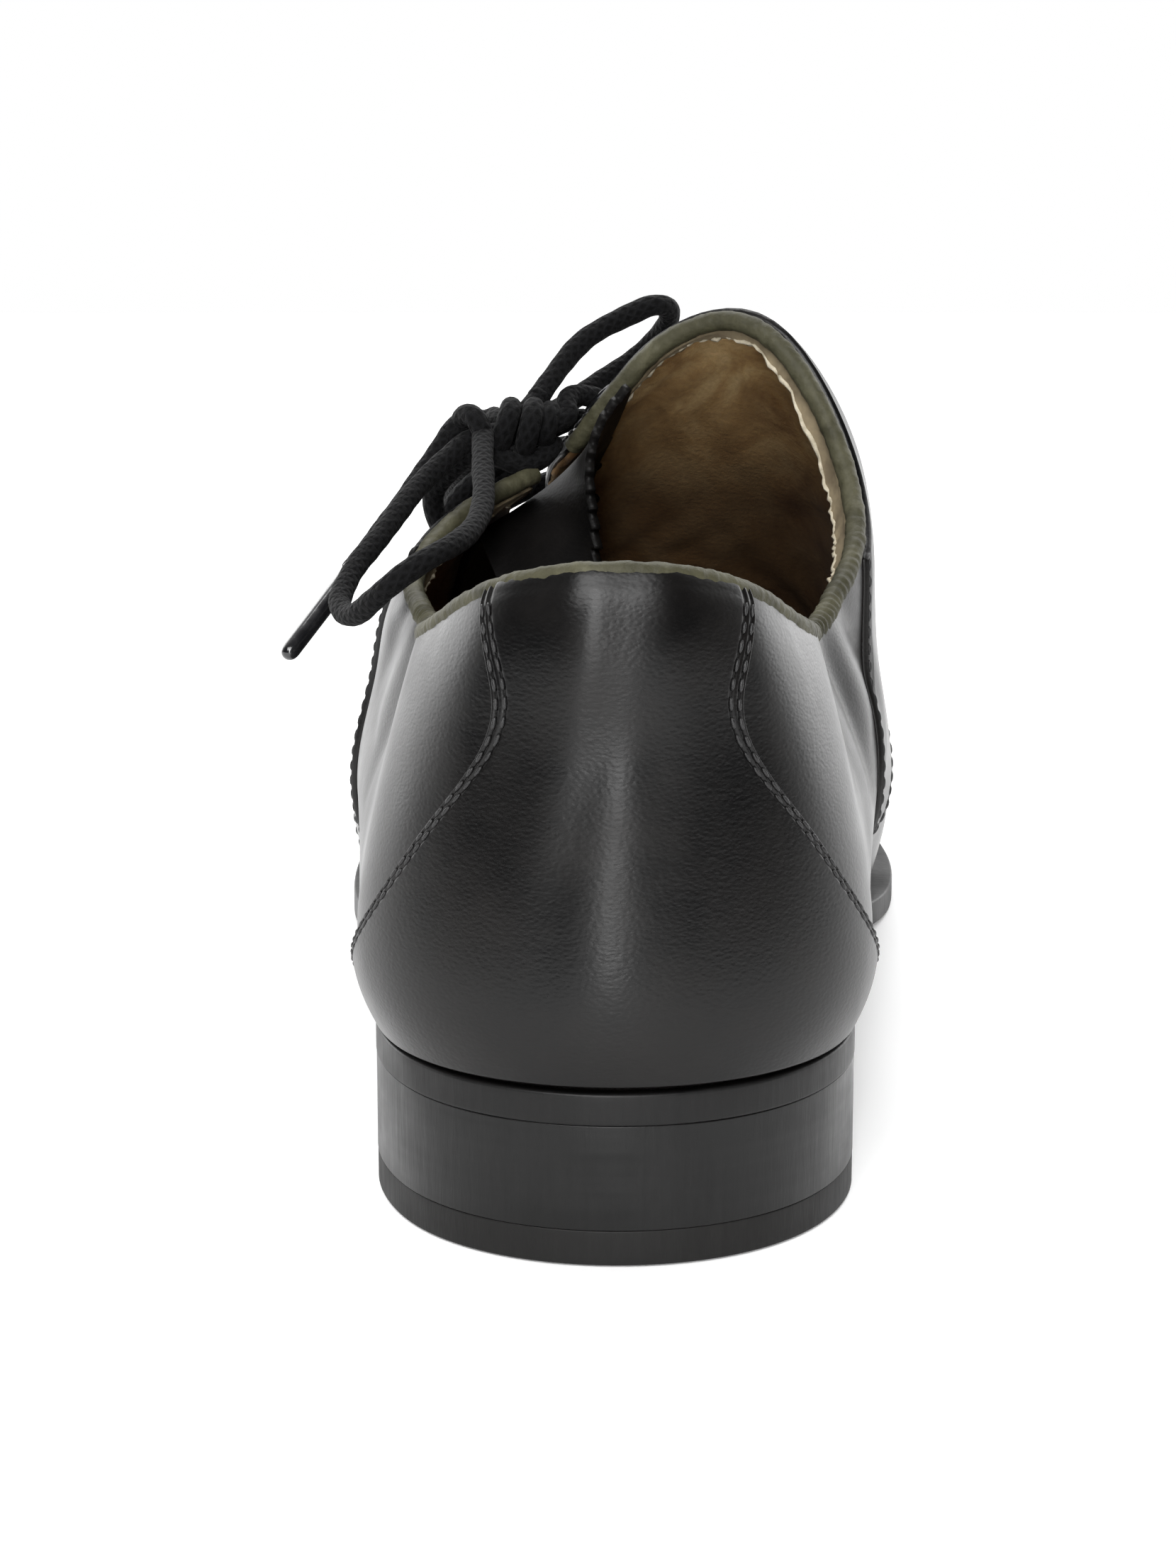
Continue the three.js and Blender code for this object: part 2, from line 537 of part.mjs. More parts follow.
// The bow's knot, and its runs of lace, whose points are chosen by hand in the order in which each run goes, with
// y from the back of the heel. A run with an aglet ends in one.
const knot = { x: -16.8, y: 121, z: 100.4, halfLength: 8.4, halfHeight: 4.5 };
const runs = {
  lace_rise_medial: {
    points: [[-5.6, 131.4, 106.6], [-6.8, 127.4, 104], [-7.4, 123, 101.4]],
    segments: 2,
  },
  lace_rise_lateral: {
    points: [[-31.7, 130.9, 82.9], [-30, 130.6, 86.5], [-27.2, 128.6, 91.3], [-22.3, 124.9, 96.4]],
    segments: 3,
  },
  lace_loop_lateral: {
    points: [
      [-21.1, 116.5, 98.8], [-20.9, 107, 95.4], [-20.5, 98, 92.4], [-20.8, 90, 89.9], [-22.5, 82, 88],
      [-25.3, 76, 86.8], [-29.1, 72, 85.2], [-33.2, 71, 82.4], [-37.4, 74, 78.4], [-40.3, 79, 75.8],
      [-42.6, 85, 76.2], [-42.2, 90, 78.3], [-40.4, 95, 81.2], [-36.7, 101, 85.2], [-33.4, 107, 89.3],
      [-29.8, 113, 92.8], [-24.6, 117.8, 97.2],
    ],
    segments: 18,
  },
  lace_loop_medial: {
    points: [
      [-12.4, 124.3, 103.9], [-8.4, 128.6, 109], [-3.9, 131.8, 113.4], [2.6, 134, 116.7], [7.3, 135, 118.4],
      [9.6, 137.5, 117.2], [8.9, 141, 114], [6.2, 143.5, 110.5], [1.5, 142.6, 107], [-4.4, 138.6, 103.6],
      [-8.4, 134, 101.4], [-12.6, 127, 99.4],
    ],
    segments: 12,
  },
  lace_end_lateral: {
    points: [
      [-26.6, 121, 98.7], [-30.2, 119.6, 93.4], [-33.6, 116, 88.8],
      [-37, 110.6, 84.6], [-39.6, 105, 81.6], [-41.6, 100, 79.4],
    ],
    segments: 4,
    agletTowards: [-49.9, 86, 69.7],
  },
  lace_end_forward: {
    points: [
      [-19.4, 126.4, 100.6], [-21.6, 134, 98.6], [-23.6, 143, 94],
      [-25.6, 152, 88.6], [-27.6, 161, 83], [-29.6, 170, 77.4],
    ],
    segments: 6,
    agletTowards: [-34.5, 188, 66],
  },
};
const point = ([x, y, z]) => new THREE.Vector3(x, y, z);
const laceRun = ({ points, segments }) => cordAlong(points.map(point), laceDiameter, segments);
const laceKnot = () =>
  closed(new THREE.SphereGeometry(1, 14, 9).scale(knot.halfLength, knot.halfHeight, knot.halfHeight));
const aglet = () => closed(new THREE.CylinderGeometry(agletDiameter / 2, agletDiameter / 2, agletLength, 10));

// The pieces.
const finishes = {
  blackLeather: { color: 0x141414, roughness: 0.35, metalness: 0 },
  lining: { color: 0x9a7a4e, roughness: 0.9, metalness: 0 },
  oliveBinding: { color: 0x555a3a, roughness: 0.55, metalness: 0 },
  soleLeather: { color: 0x1a1816, roughness: 0.6, metalness: 0 },
  heelLeather: { color: 0x161514, roughness: 0.4, metalness: 0 },
  topPieceRubber: { color: 0x1c1a19, roughness: 0.7, metalness: 0 },
  eyeletMetal: { color: 0x2a2a2c, roughness: 0.25, metalness: 1 },
  blackCord: { color: 0x101010, roughness: 0.95, metalness: 0 },
  agletPlastic: { color: 0x0c0c0c, roughness: 0.15, metalness: 0 },
};
const upright = new THREE.Vector3(0, 1, 0);
const shoe = new THREE.Group();
shoe.position.y = -originFromBack;
function add(name, geometry, finish) {
  const mesh = new THREE.Mesh(geometry, new THREE.MeshStandardMaterial(finishes[finish]));
  mesh.name = name;
  shoe.add(mesh);
  return mesh;
}
add("upper", upper(), "blackLeather");
add("outsole", outsole(), "soleLeather");
add("insole", insole(), "lining");
add("heel_stack", heelStack(), "heelLeather");
add("heel_top_piece", topPiece(), "topPieceRubber");
add("tongue", tongue(), "blackLeather");
add("heel_counter", counter(), "blackLeather");
add("quarter_panel_medial", quarterPanel(1, medialPanel), "blackLeather");
add("quarter_panel_lateral", quarterPanel(-1, lateralPanel), "blackLeather");
add("topline_binding", binding(), "oliveBinding");
for (let pair = 0; pair < eyelets.count; pair++) {
  for (const side of [-1, 1]) {
    const [u, w] = eyeletPlace(pair, side);
    const ring = add(`eyelet_${side < 0 ? "lateral" : "medial"}_${pair + 1}`, eyelet(), "eyeletMetal");
    ring.position.copy(skin(u, w, eyeletSeat));
    ring.quaternion.setFromUnitVectors(upright, outward(u, w));
  }
  if (pair > 0) add(`lace_bar_${pair + 1}`, laceBar(pair), "blackCord");
}
add("lace_knot", laceKnot(), "blackCord").position.set(knot.x, knot.y, knot.z);
for (const [name, run] of Object.entries(runs)) {
  add(name, laceRun(run), "blackCord");
  if (!run.agletTowards) continue;
  const end = point(run.points.at(-1));
  const direction = point(run.agletTowards).sub(end).normalize();
  const tip = add(name.replace("lace_end", "aglet"), aglet(), "agletPlastic");
  tip.position.copy(end).addScaledVector(direction, agletLength / 2 + agletGap);
  tip.quaternion.setFromUnitVectors(upright, direction);
}

export default shoe;
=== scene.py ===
"""A left lace-up leather shoe, seen from behind: black leather over a tan lining, an olive bound topline,
a tied round lace, a flat leather sole and a low stacked heel. Working lengths are millimetres, with y from
the back of the heel. Every finished piece is in metres, in the shoe's own frame."""

import math

import bmesh
import bpy
import numpy as np
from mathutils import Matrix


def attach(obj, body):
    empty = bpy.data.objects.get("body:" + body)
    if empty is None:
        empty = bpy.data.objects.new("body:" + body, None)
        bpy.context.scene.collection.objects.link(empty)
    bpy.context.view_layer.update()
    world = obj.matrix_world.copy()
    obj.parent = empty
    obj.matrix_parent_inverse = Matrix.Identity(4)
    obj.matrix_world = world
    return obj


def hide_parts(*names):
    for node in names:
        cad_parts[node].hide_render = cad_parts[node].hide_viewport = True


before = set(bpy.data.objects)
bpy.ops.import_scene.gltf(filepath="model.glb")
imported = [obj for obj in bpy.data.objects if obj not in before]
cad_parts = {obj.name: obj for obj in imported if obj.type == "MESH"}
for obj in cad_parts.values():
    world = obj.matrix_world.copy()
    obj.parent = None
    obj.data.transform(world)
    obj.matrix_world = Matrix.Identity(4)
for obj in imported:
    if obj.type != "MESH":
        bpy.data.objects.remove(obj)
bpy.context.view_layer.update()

# Sizes in millimetres.
SHOE_LENGTH = 298
BALL_WIDTH = 100
INSTEP_RISE = 100
HEEL_HEIGHT = 24.5
SOLE_THICKNESS = 4.5
TOP_PIECE = 5
BACK_LEAN = 2.5
WALL = 2.2
LEATHER = 1.2
FIT = 0.35
OVERLAY = 1.0
TONGUE = 2
INSOLE = 2.5
BINDING = 3.2
LACE = 3.6
ORIGIN_FROM_BACK = 37
RIDGE_BACK = 36
RIDGE_FRONT = 248
HEEL_LENGTH = 72
BREAST_SAG = 5
THROAT_AT = 0.61
METRE = 0.001


# Camera: the photograph is taken from behind, a little above the collar.
SENSOR = 36
PHOTO_HEIGHT = 2212
FOCAL_PIXELS = 4944
EYE = (-0.004, -0.490, 0.170)
LOOKS_DOWN = 12.8


def make_camera():
    camera = bpy.data.cameras.new("camera")
    camera.sensor_fit = "VERTICAL"
    camera.sensor_height = SENSOR
    camera.sensor_width = SENSOR
    camera.lens = SENSOR * FOCAL_PIXELS / PHOTO_HEIGHT
    camera.clip_start = 0.01
    holder = bpy.data.objects.new("camera", camera)
    holder.location = EYE
    holder.rotation_euler = (math.radians(90 - LOOKS_DOWN), 0, 0)
    bpy.context.scene.collection.objects.link(holder)
    bpy.context.scene.camera = holder


make_camera()


# Smooth curves through a few chosen values, with no bend at their ends.
def bend_matrix(xs):
    """What gives a curve's bend at each of its knots from its values there."""
    count = len(xs)
    left, right = np.eye(count), np.zeros((count, count))
    for i in range(1, count - 1):
        before, after = xs[i] - xs[i - 1], xs[i + 1] - xs[i]
        left[i, i - 1 : i + 2] = before / 6, (before + after) / 3, after / 6
        right[i, i - 1 : i + 2] = 1 / before, -1 / before - 1 / after, 1 / after
    return np.linalg.solve(left, right)


def between_knots(xs, x, ys, bend):
    k = np.clip(np.searchsorted(xs, x) - 1, 0, len(xs) - 2)
    step = xs[k + 1] - xs[k]
    a = (xs[k + 1] - x) / step
    b = 1 - a
    if ys.ndim > 1:
        rows = np.arange(len(x))
        low, high, bend_low, bend_high = ys[rows, k], ys[rows, k + 1], bend[rows, k], bend[rows, k + 1]
        a, b, step = a[:, None], b[:, None], step[:, None]
    else:
        low, high, bend_low, bend_high = ys[k], ys[k + 1], bend[k], bend[k + 1]
    return a * low + b * high + ((a**3 - a) * bend_low + (b**3 - b) * bend_high) * step**2 / 6


def smooth(xs, ys):
    xs, ys = np.array(xs, float), np.array(ys, float)
    bend = bend_matrix(xs) @ ys
    return lambda x: between_knots(xs, np.asarray(x, float), ys, bend)


def columns_of(names, *rows):
    """A table's columns by name, each a smooth curve over the first one."""
    names = names.split()
    by = [row[0] for row in rows]
    return {name: smooth(by, [row[i] for row in rows]) for i, name in enumerate(names) if i}


# The last, a row for each station, as in the part. Widths, ridge, crest and seat are shares of the sizes.
STATIONS = columns_of(
    "at lateral medial crest ridge seat",
    (0, 0.378, 0.378, 0, 1.015, 1),
    (0.12, 0.38, 0.377, 0.01, 1, 0.99),
    (0.2, 0.39, 0.39, 0.045, 0.99, 0.96),
    (0.3, 0.402, 0.42, 0.125, 0.99, 0.82),
    (0.4, 0.422, 0.452, 0.16, 1.005, 0.56),
    (0.5, 0.44, 0.482, 0.125, 0.915, 0.25),
    (0.6, 0.46, 0.51, 0.11, 0.76, 0.04),
    (0.7, 0.462, 0.528, 0.105, 0.6, -0.02),
    (0.8, 0.44, 0.5, 0.1, 0.455, 0.03),
    (0.9, 0.4, 0.45, 0.1, 0.35, 0.17),
    (1, 0.36, 0.4, 0.1, 0.265, 0.4),
)
LATERAL_FORM = columns_of(
    "at foot lowOut lowUp wallOut wallUp topOut topUp nearOut nearUp",
    (0, 0.955, 0.98, 0.14, 0.88, 0.46, 0.78, 0.7, 0.4, 0.88),
    (0.035, 0.93, 0.98, 0.14, 0.85, 0.46, 0.67, 0.7, 0.38, 0.88),
    (0.08, 0.9, 0.98, 0.14, 0.83, 0.46, 0.61, 0.7, 0.36, 0.88),
    (0.14, 0.89, 0.98, 0.14, 0.82, 0.46, 0.61, 0.69, 0.35, 0.88),
    (0.2, 0.875, 0.985, 0.15, 0.81, 0.46, 0.64, 0.67, 0.35, 0.875),
    (0.3, 0.85, 1, 0.2, 0.92, 0.45, 0.75, 0.66, 0.31, 0.9),
    (0.35, 0.85, 1, 0.21, 0.945, 0.44, 0.73, 0.69, 0.27, 0.92),
    (0.4, 0.855, 1, 0.21, 0.94, 0.43, 0.7, 0.7, 0.26, 0.925),
    (0.5, 0.895, 1, 0.2, 0.92, 0.48, 0.62, 0.785, 0.3, 0.93),
    (0.6, 0.95, 1, 0.21, 0.92, 0.5, 0.6, 0.82, 0.31, 0.94),
    (0.7, 0.965, 1, 0.22, 0.92, 0.5, 0.6, 0.84, 0.31, 0.95),
    (1, 0.96, 1, 0.25, 0.93, 0.56, 0.62, 0.86, 0.31, 0.95),
)
MEDIAL_FORM = columns_of(
    "at foot lowOut lowUp wallOut wallUp topOut topUp nearOut nearUp",
    (0, 0.955, 0.98, 0.14, 0.88, 0.46, 0.78, 0.7, 0.4, 0.88),
    (0.035, 0.93, 0.98, 0.14, 0.85, 0.46, 0.67, 0.7, 0.38, 0.88),
    (0.08, 0.905, 0.98, 0.14, 0.83, 0.46, 0.61, 0.7, 0.36, 0.88),
    (0.14, 0.88, 0.98, 0.14, 0.82, 0.46, 0.61, 0.69, 0.35, 0.88),
    (0.2, 0.8, 0.985, 0.16, 0.81, 0.46, 0.64, 0.67, 0.35, 0.88),
    (0.3, 0.52, 0.97, 0.22, 0.92, 0.5, 0.81, 0.75, 0.41, 0.96),
    (0.35, 0.39, 0.95, 0.23, 0.92, 0.48, 0.8, 0.78, 0.41, 0.967),
    (0.4, 0.34, 0.93, 0.23, 0.92, 0.47, 0.785, 0.8, 0.42, 0.967),
    (0.5, 0.57, 0.97, 0.2, 0.92, 0.49, 0.7, 0.83, 0.36, 0.96),
    (0.6, 0.86, 1, 0.21, 0.92, 0.5, 0.64, 0.84, 0.33, 0.95),
    (0.7, 0.94, 1, 0.22, 0.92, 0.5, 0.6, 0.84, 0.31, 0.95),
    (1, 0.96, 1, 0.25, 0.93, 0.56, 0.62, 0.86, 0.31, 0.95),
)
MEDIAL_EDGE = columns_of(
    "at across",
    (0, 0.325), (0.04, 0.385), (0.08, 0.44), (0.14, 0.475), (0.2, 0.484), (0.245, 0.455),
    (0.285, 0.408), (0.325, 0.335), (0.353, 0.2), (0.374, 0), (0.399, -0.13), (0.43, -0.19),
    (0.46, -0.2), (0.61, -0.18), (1, 0.2),
)
LATERAL_EDGE = columns_of(
    "at across",
    (0, -0.325), (0.04, -0.385), (0.08, -0.44), (0.14, -0.475), (0.2, -0.478), (0.245, -0.435),
    (0.285, -0.388), (0.335, -0.35), (0.375, -0.29), (0.405, -0.24), (0.43, -0.245), (0.61, -0.25),
    (1, -0.2),
)
COUNTER_EDGE = columns_of(
    "down at",
    (0, 0.027), (0.16, 0.02), (0.26, 0.018), (0.33, 0.022), (0.38, 0.03), (0.44, 0.045),
    (0.52, 0.067), (0.63, 0.1), (0.77, 0.135), (1, 0.165),
)
MEDIAL_PANEL = columns_of(
    "down back front",
    (0, 0.29, 0.6),
    (0.25, 0.287, 0.585),
    (0.5, 0.283, 0.555),
    (0.7, 0.287, 0.525),
    (0.85, 0.33, 0.495),
    (1, 0.4, 0.47),
)
LATERAL_PANEL = columns_of(
    "down back front",
    (0, 0.345, 0.6),
    (0.25, 0.365, 0.585),
    (0.5, 0.375, 0.555),
    (0.7, 0.38, 0.53),
    (0.85, 0.4, 0.505),
    (1, 0.43, 0.48),
)
TONGUE_END = columns_of(
    "across x y z",
    (0, -15, 106.1, 70),
    (0.3, -10.5, 101, 68),
    (0.55, -2, 101.9, 78),
    (0.75, -3.8, 106.1, 93),
    (0.9, -1.5, 107.9, 103),
    (1, 3, 109.1, 108),
)
FORM_ACROSS = {"foot": 1, "low": 0.8, "wall": 0.55, "top": 0.3, "near": 0.15}
KNOTS = np.array(sorted([0.0] + [s * w for s in (-1, 1) for w in FORM_ACROSS.values()]))
SECTION_BEND = bend_matrix(KNOTS)
HEEL_ROUND = (0.125, 2.0)
TOE_ROUND = (0.22, 2.2)
DIP = {"at": 0.42, "reach": 0.11, "across": -0.22, "spread": 0.12, "depth": 4.5}
SLOW_BACK, SLOW_FRONT = 0.12, 0.16
PACE = 1 / (1 - SLOW_BACK / 2 - SLOW_FRONT / 2)


def station_of(u):
    """The share of the shoe's length at a column, where columns lie closer together at both ends."""
    u = np.asarray(u, float)
    middle = PACE * (u - SLOW_BACK / 2)
    back = PACE * u * u / (2 * SLOW_BACK)
    front = 1 - PACE * (1 - u) ** 2 / (2 * SLOW_FRONT)
    return np.where(u < SLOW_BACK, back, np.where(u > 1 - SLOW_FRONT, front, middle))


def column_of(at):
    """The column at a share of the shoe's length."""
    at = np.asarray(at, float)
    back = np.sqrt(np.maximum(2 * SLOW_BACK * at / PACE, 0))
    front = 1 - np.sqrt(np.maximum(2 * SLOW_FRONT * (1 - at) / PACE, 0))
    middle = at / PACE + SLOW_BACK / 2
    front_or_middle = np.where(at > 1 - PACE * SLOW_FRONT / 2, front, middle)
    return np.where(at < PACE * SLOW_BACK / 2, back, front_or_middle)


def ground(y):
    at = np.clip((np.asarray(y, float) + BACK_LEAN) / SHOE_LENGTH, 0, 1)
    return np.maximum(STATIONS["seat"](at), 0) * (HEEL_HEIGHT - SOLE_THICKNESS)


def sole_top(y):
    return ground(y) + SOLE_THICKNESS


def swell(share):
    share = np.asarray(share, float)
    return np.where(np.abs(share) < 1, (1 + np.cos(np.pi * share)) / 2, 0)


def roundness(at):
    def end(far, reach, power):
        return (1 - np.clip(1 - far / reach, 0, 1) ** power) ** (1 / power)

    return end(at, *HEEL_ROUND) * end(1 - at, *TOE_ROUND)


def section_points(u):
    """The places that each column's section passes through, outer feather line first."""
    at = station_of(u)
    crest = STATIONS["crest"](at) * BALL_WIDTH
    spine = RIDGE_BACK + (RIDGE_FRONT - RIDGE_BACK) * at
    outline = at * SHOE_LENGTH - BACK_LEAN
    base = sole_top(outline) + FIT
    rise = STATIONS["ridge"](at) * INSTEP_RISE
    points = np.zeros((len(at), len(KNOTS), 3))
    points[:, 5] = np.stack([crest, spine, base + rise], 1)
    for side, form, width in ((-1, LATERAL_FORM, "lateral"), (1, MEDIAL_FORM, "medial")):
        half = (STATIONS[width](at) * BALL_WIDTH - side * crest) * roundness(at)
        for name, across in FORM_ACROSS.items():
            out = form["foot"](at) if name == "foot" else form[name + "Out"](at)
            y = spine + (outline - spine) * out
            z = sole_top(y) + FIT if name == "foot" else base + rise * form[name + "Up"](at)
            knot = int(np.argmin(np.abs(KNOTS - side * across)))
            points[:, knot] = np.stack([crest + side * half * out, y, z], 1)
    return points


def surface(u, w):
    """The smooth form: u from the heel to the toe, w from -1 at the lateral sole to 1 at the medial one."""
    u, w = np.broadcast_arrays(np.asarray(u, float), np.asarray(w, float))
    shape, u, w = u.shape, u.ravel(), w.ravel()
    own, which = np.unique(u, return_inverse=True)
    points = section_points(own)
    bends = np.einsum("ij,njk->nik", SECTION_BEND, points)
    place = between_knots(KNOTS, w, points[which], bends[which])
    sunk = DIP["depth"] * swell((station_of(u) - DIP["at"]) / DIP["reach"])
    place[:, 2] -= sunk * swell((w - DIP["across"]) / DIP["spread"])
    return place.reshape(shape + (3,))


def outward(u, w):
    """The unit direction out of the smooth form."""
    u, w = np.broadcast_arrays(np.asarray(u, float), np.asarray(w, float))
    tiny = 1e-4
    turned = np.where((np.abs(w) < 0.05) & (u > 1 - tiny), 0.05, w)
    low, high = np.where(u < 0.5, u, u - tiny), np.where(u < 0.5, u + tiny, u)
    along = surface(high, turned) - surface(low, turned)
    around = surface(u, turned + tiny) - surface(u, turned - tiny)
    direction = np.cross(around, along)
    direction[..., 0] = np.where((u == 0) | (u == 1), 0, direction[..., 0])
    return direction / np.linalg.norm(direction, axis=-1, keepdims=True)


# The leather's relief. A furrow runs through points (y, z) in millimetres on one side of the shoe, and a
# flute, a low step down the counter, through points (x, z). Width is how far its slope reaches each way.
# A negative depth raises a furrow, and turns a flute's step to its other side.
FURROWS = [
    (1, 3.4, 0.9, [(60, 76), (66, 66), (70, 56), (73, 47)]),
    (1, 4.0, -0.7, [(67, 77), (73, 67), (78, 57)]),
    (1, 3.2, 0.7, [(74, 78), (81, 70), (87, 60), (92, 50)]),
    (1, 2.6, 0.5, [(52, 72), (55, 62), (58, 53)]),
    (-1, 3.4, 0.9, [(60, 76), (66, 67), (71, 57), (74, 48)]),
    (-1, 4.0, -0.7, [(68, 77), (75, 68), (80, 58)]),
    (-1, 3.0, 0.7, [(76, 79), (84, 71), (91, 62)]),
    (-1, 2.6, 0.5, [(51, 73), (54, 64), (58, 56)]),
    (1, 5.0, 0.6, [(112, 44), (130, 38), (150, 34)]),
    (1, 4.0, 0.5, [(175, 46), (190, 38), (200, 28)]),
    (-1, 4.0, 0.5, [(172, 44), (186, 36), (196, 27)]),
]
FURROW_FROM = 0.2
FLUTES = [
    (4.2, 0.38, [(-2, 97), (-2.8, 84), (-4.4, 73), (-7.4, 63), (-10.4, 52), (-12, 40), (-12, 30)]),
    (4.6, -0.25, [(5.2, 97), (6.0, 84), (7.4, 73), (8.8, 62), (8.2, 50), (6.5, 34)]),
    (5.0, 0.4, [(-12.5, 96), (-15.0, 82), (-18.5, 66), (-22, 50)]),
    (5.0, -0.35, [(14.5, 95), (16.5, 80), (20.5, 64), (23, 46)]),
]
FLUTES_END_AT_Y = 24
# Creases over the vamp where the toes bend: station, its lean across, width, depth, and the across span.
VAMP_CREASES = [
    (0.665, 0.05, 2.6, 0.65, -0.62, 0.6),
    (0.69, 0.045, 2.0, 0.4, -0.45, 0.5),
    (0.712, 0.055, 2.4, 0.5, -0.66, 0.42),
]


def distance_to_path(points, path):
    """How far points are from a line through a path, and how far along it, from 0 to 1."""
    best, along = np.full(len(points), 1e9), np.zeros(len(points))
    path = np.array(path, float)
    for k in range(len(path) - 1):
        run = path[k + 1] - path[k]
        share = np.clip(((points - path[k]) @ run) / (run @ run), 0, 1)
        away = np.linalg.norm(points - path[k] - share[:, None] * run, axis=1)
        nearer = away < best
        best = np.where(nearer, away, best)
        along = np.where(nearer, (k + share) / (len(path) - 1), along)
    return best, along


def side_of_path(points, path):
    """1 on a path's left as it goes down, -1 on its right."""
    path = np.array(path, float)
    return np.where(points[:, 0] < np.interp(-points[:, 1], -path[:, 1], path[:, 0]), 1, -1)


def relief(u, w):
    """How far the leather stands above its smooth form, in millimetres."""
    place = surface(u, w)
    flat = place.reshape(-1, 3)
    wide_u, wide_w = (a.ravel() for a in np.broadcast_arrays(u, w))
    lift = np.zeros(len(flat))
    for side, width, depth, path in FURROWS:
        away, along = distance_to_path(flat[:, 1:], path)
        fade = np.sin(np.pi * np.clip(along * 0.86 + 0.14, 0, 1)) ** 0.7
        near = np.exp(-((away / width) ** 2))
        lift -= np.where(wide_w * side > FURROW_FROM, depth * fade * near, 0)
    points = flat[:, [0, 2]]
    for width, depth, path in FLUTES:
        away, along = distance_to_path(points, path)
        share = away / width * side_of_path(points, path)
        fade = np.cos(np.pi / 2 * np.clip(along, 0, 1) ** 1.5)
        step = 1.5 * depth * fade * share * np.exp(-(share**2))
        lift += np.where(flat[:, 1] < FLUTES_END_AT_Y, step, 0)
    at = station_of(wide_u)
    for crease_at, lean, width, depth, first, final in VAMP_CREASES:
        middle = crease_at + lean * (wide_w * 0.6 + wide_w**2)
        span = np.clip((wide_w - first) / (final - first), 0, 1)
        near = np.exp(-(((at - middle) * SHOE_LENGTH / width) ** 2))
        lift -= depth * np.sin(np.pi * span) ** 0.8 * near
    return lift.reshape(place.shape[:-1])


def skin(u, w, lift=0.0, follow=1.0):
    """A place on the leather's outside, lifted off it, with the relief."""
    u, w = np.broadcast_arrays(np.asarray(u, float), np.asarray(w, float))
    raised = np.asarray(lift, float) + (follow * relief(u, w) if follow else 0)
    return surface(u, w) + outward(u, w) * np.broadcast_to(raised, u.shape)[..., None]


# Meshes.
def as_object(name, mesh, smooth_faces=True):
    thing = bpy.data.objects.new(name, mesh)
    bpy.context.scene.collection.objects.link(thing)
    if smooth_faces:
        mesh.polygons.foreach_set("use_smooth", [True] * len(mesh.polygons))
    return thing


def in_metres(points):
    return (np.asarray(points, float).reshape(-1, 3) - (0, ORIGIN_FROM_BACK, 0)) * METRE


def merged_mesh(name, points, faces, uvs=None):
    mesh = bpy.data.meshes.new(name)
    mesh.from_pydata(in_metres(points).tolist(), [], faces)
    if uvs is not None:
        layer = mesh.uv_layers.new(name="UVMap")
        corner = np.zeros(len(mesh.loops), int)
        mesh.loops.foreach_get("vertex_index", corner)
        layer.data.foreach_set("uv", np.asarray(uvs, float).reshape(-1, 2)[corner].ravel())
    shape = bmesh.new()
    shape.from_mesh(mesh)
    bmesh.ops.remove_doubles(shape, verts=shape.verts, dist=2e-7)
    bmesh.ops.dissolve_degenerate(shape, edges=shape.edges, dist=1e-8)
    bmesh.ops.delete(shape, geom=[v for v in shape.verts if not v.link_faces], context="VERTS")
    shape.to_mesh(mesh)
    shape.free()
    mesh.update()
    return mesh


def wall_mesh(name, outer, inner, present=None, folded_back=False, folded_front=False):
    """A closed wall between two grids of points, [column][row], open where cells are not present."""
    columns, rows = outer.shape[:2]
    half = columns * rows
    present = np.ones((columns - 1, rows - 1), bool) if present is None else present
    padded = np.zeros((columns + 1, rows + 1), bool)
    padded[1:-1, 1:-1] = present
    faces = []
    for k, r in np.argwhere(present).tolist():
        a, b, c, d = k * rows + r, k * rows + r + 1, (k + 1) * rows + r + 1, (k + 1) * rows + r
        faces += [(a, b, c, d), (half + d, half + c, half + b, half + a)]
        rims = []
        if not padded[k, r + 1] and not (k == 0 and folded_back):
            rims.append((a, b))
        if not padded[k + 1, r + 2]:
            rims.append((b, c))
        if not padded[k + 2, r + 1] and not (k == columns - 2 and folded_front):
            rims.append((c, d))
        if not padded[k + 1, r]:
            rims.append((d, a))
        faces += [(q, p, half + p, half + q) for p, q in rims]
    points = np.concatenate([outer.reshape(-1, 3), inner.reshape(-1, 3)])
    return merged_mesh(name, points, faces)


def length_along(path):
    """How far along a path each of its points lies."""
    return np.concatenate([[0], np.cumsum(np.linalg.norm(np.diff(path, axis=0), axis=1))])


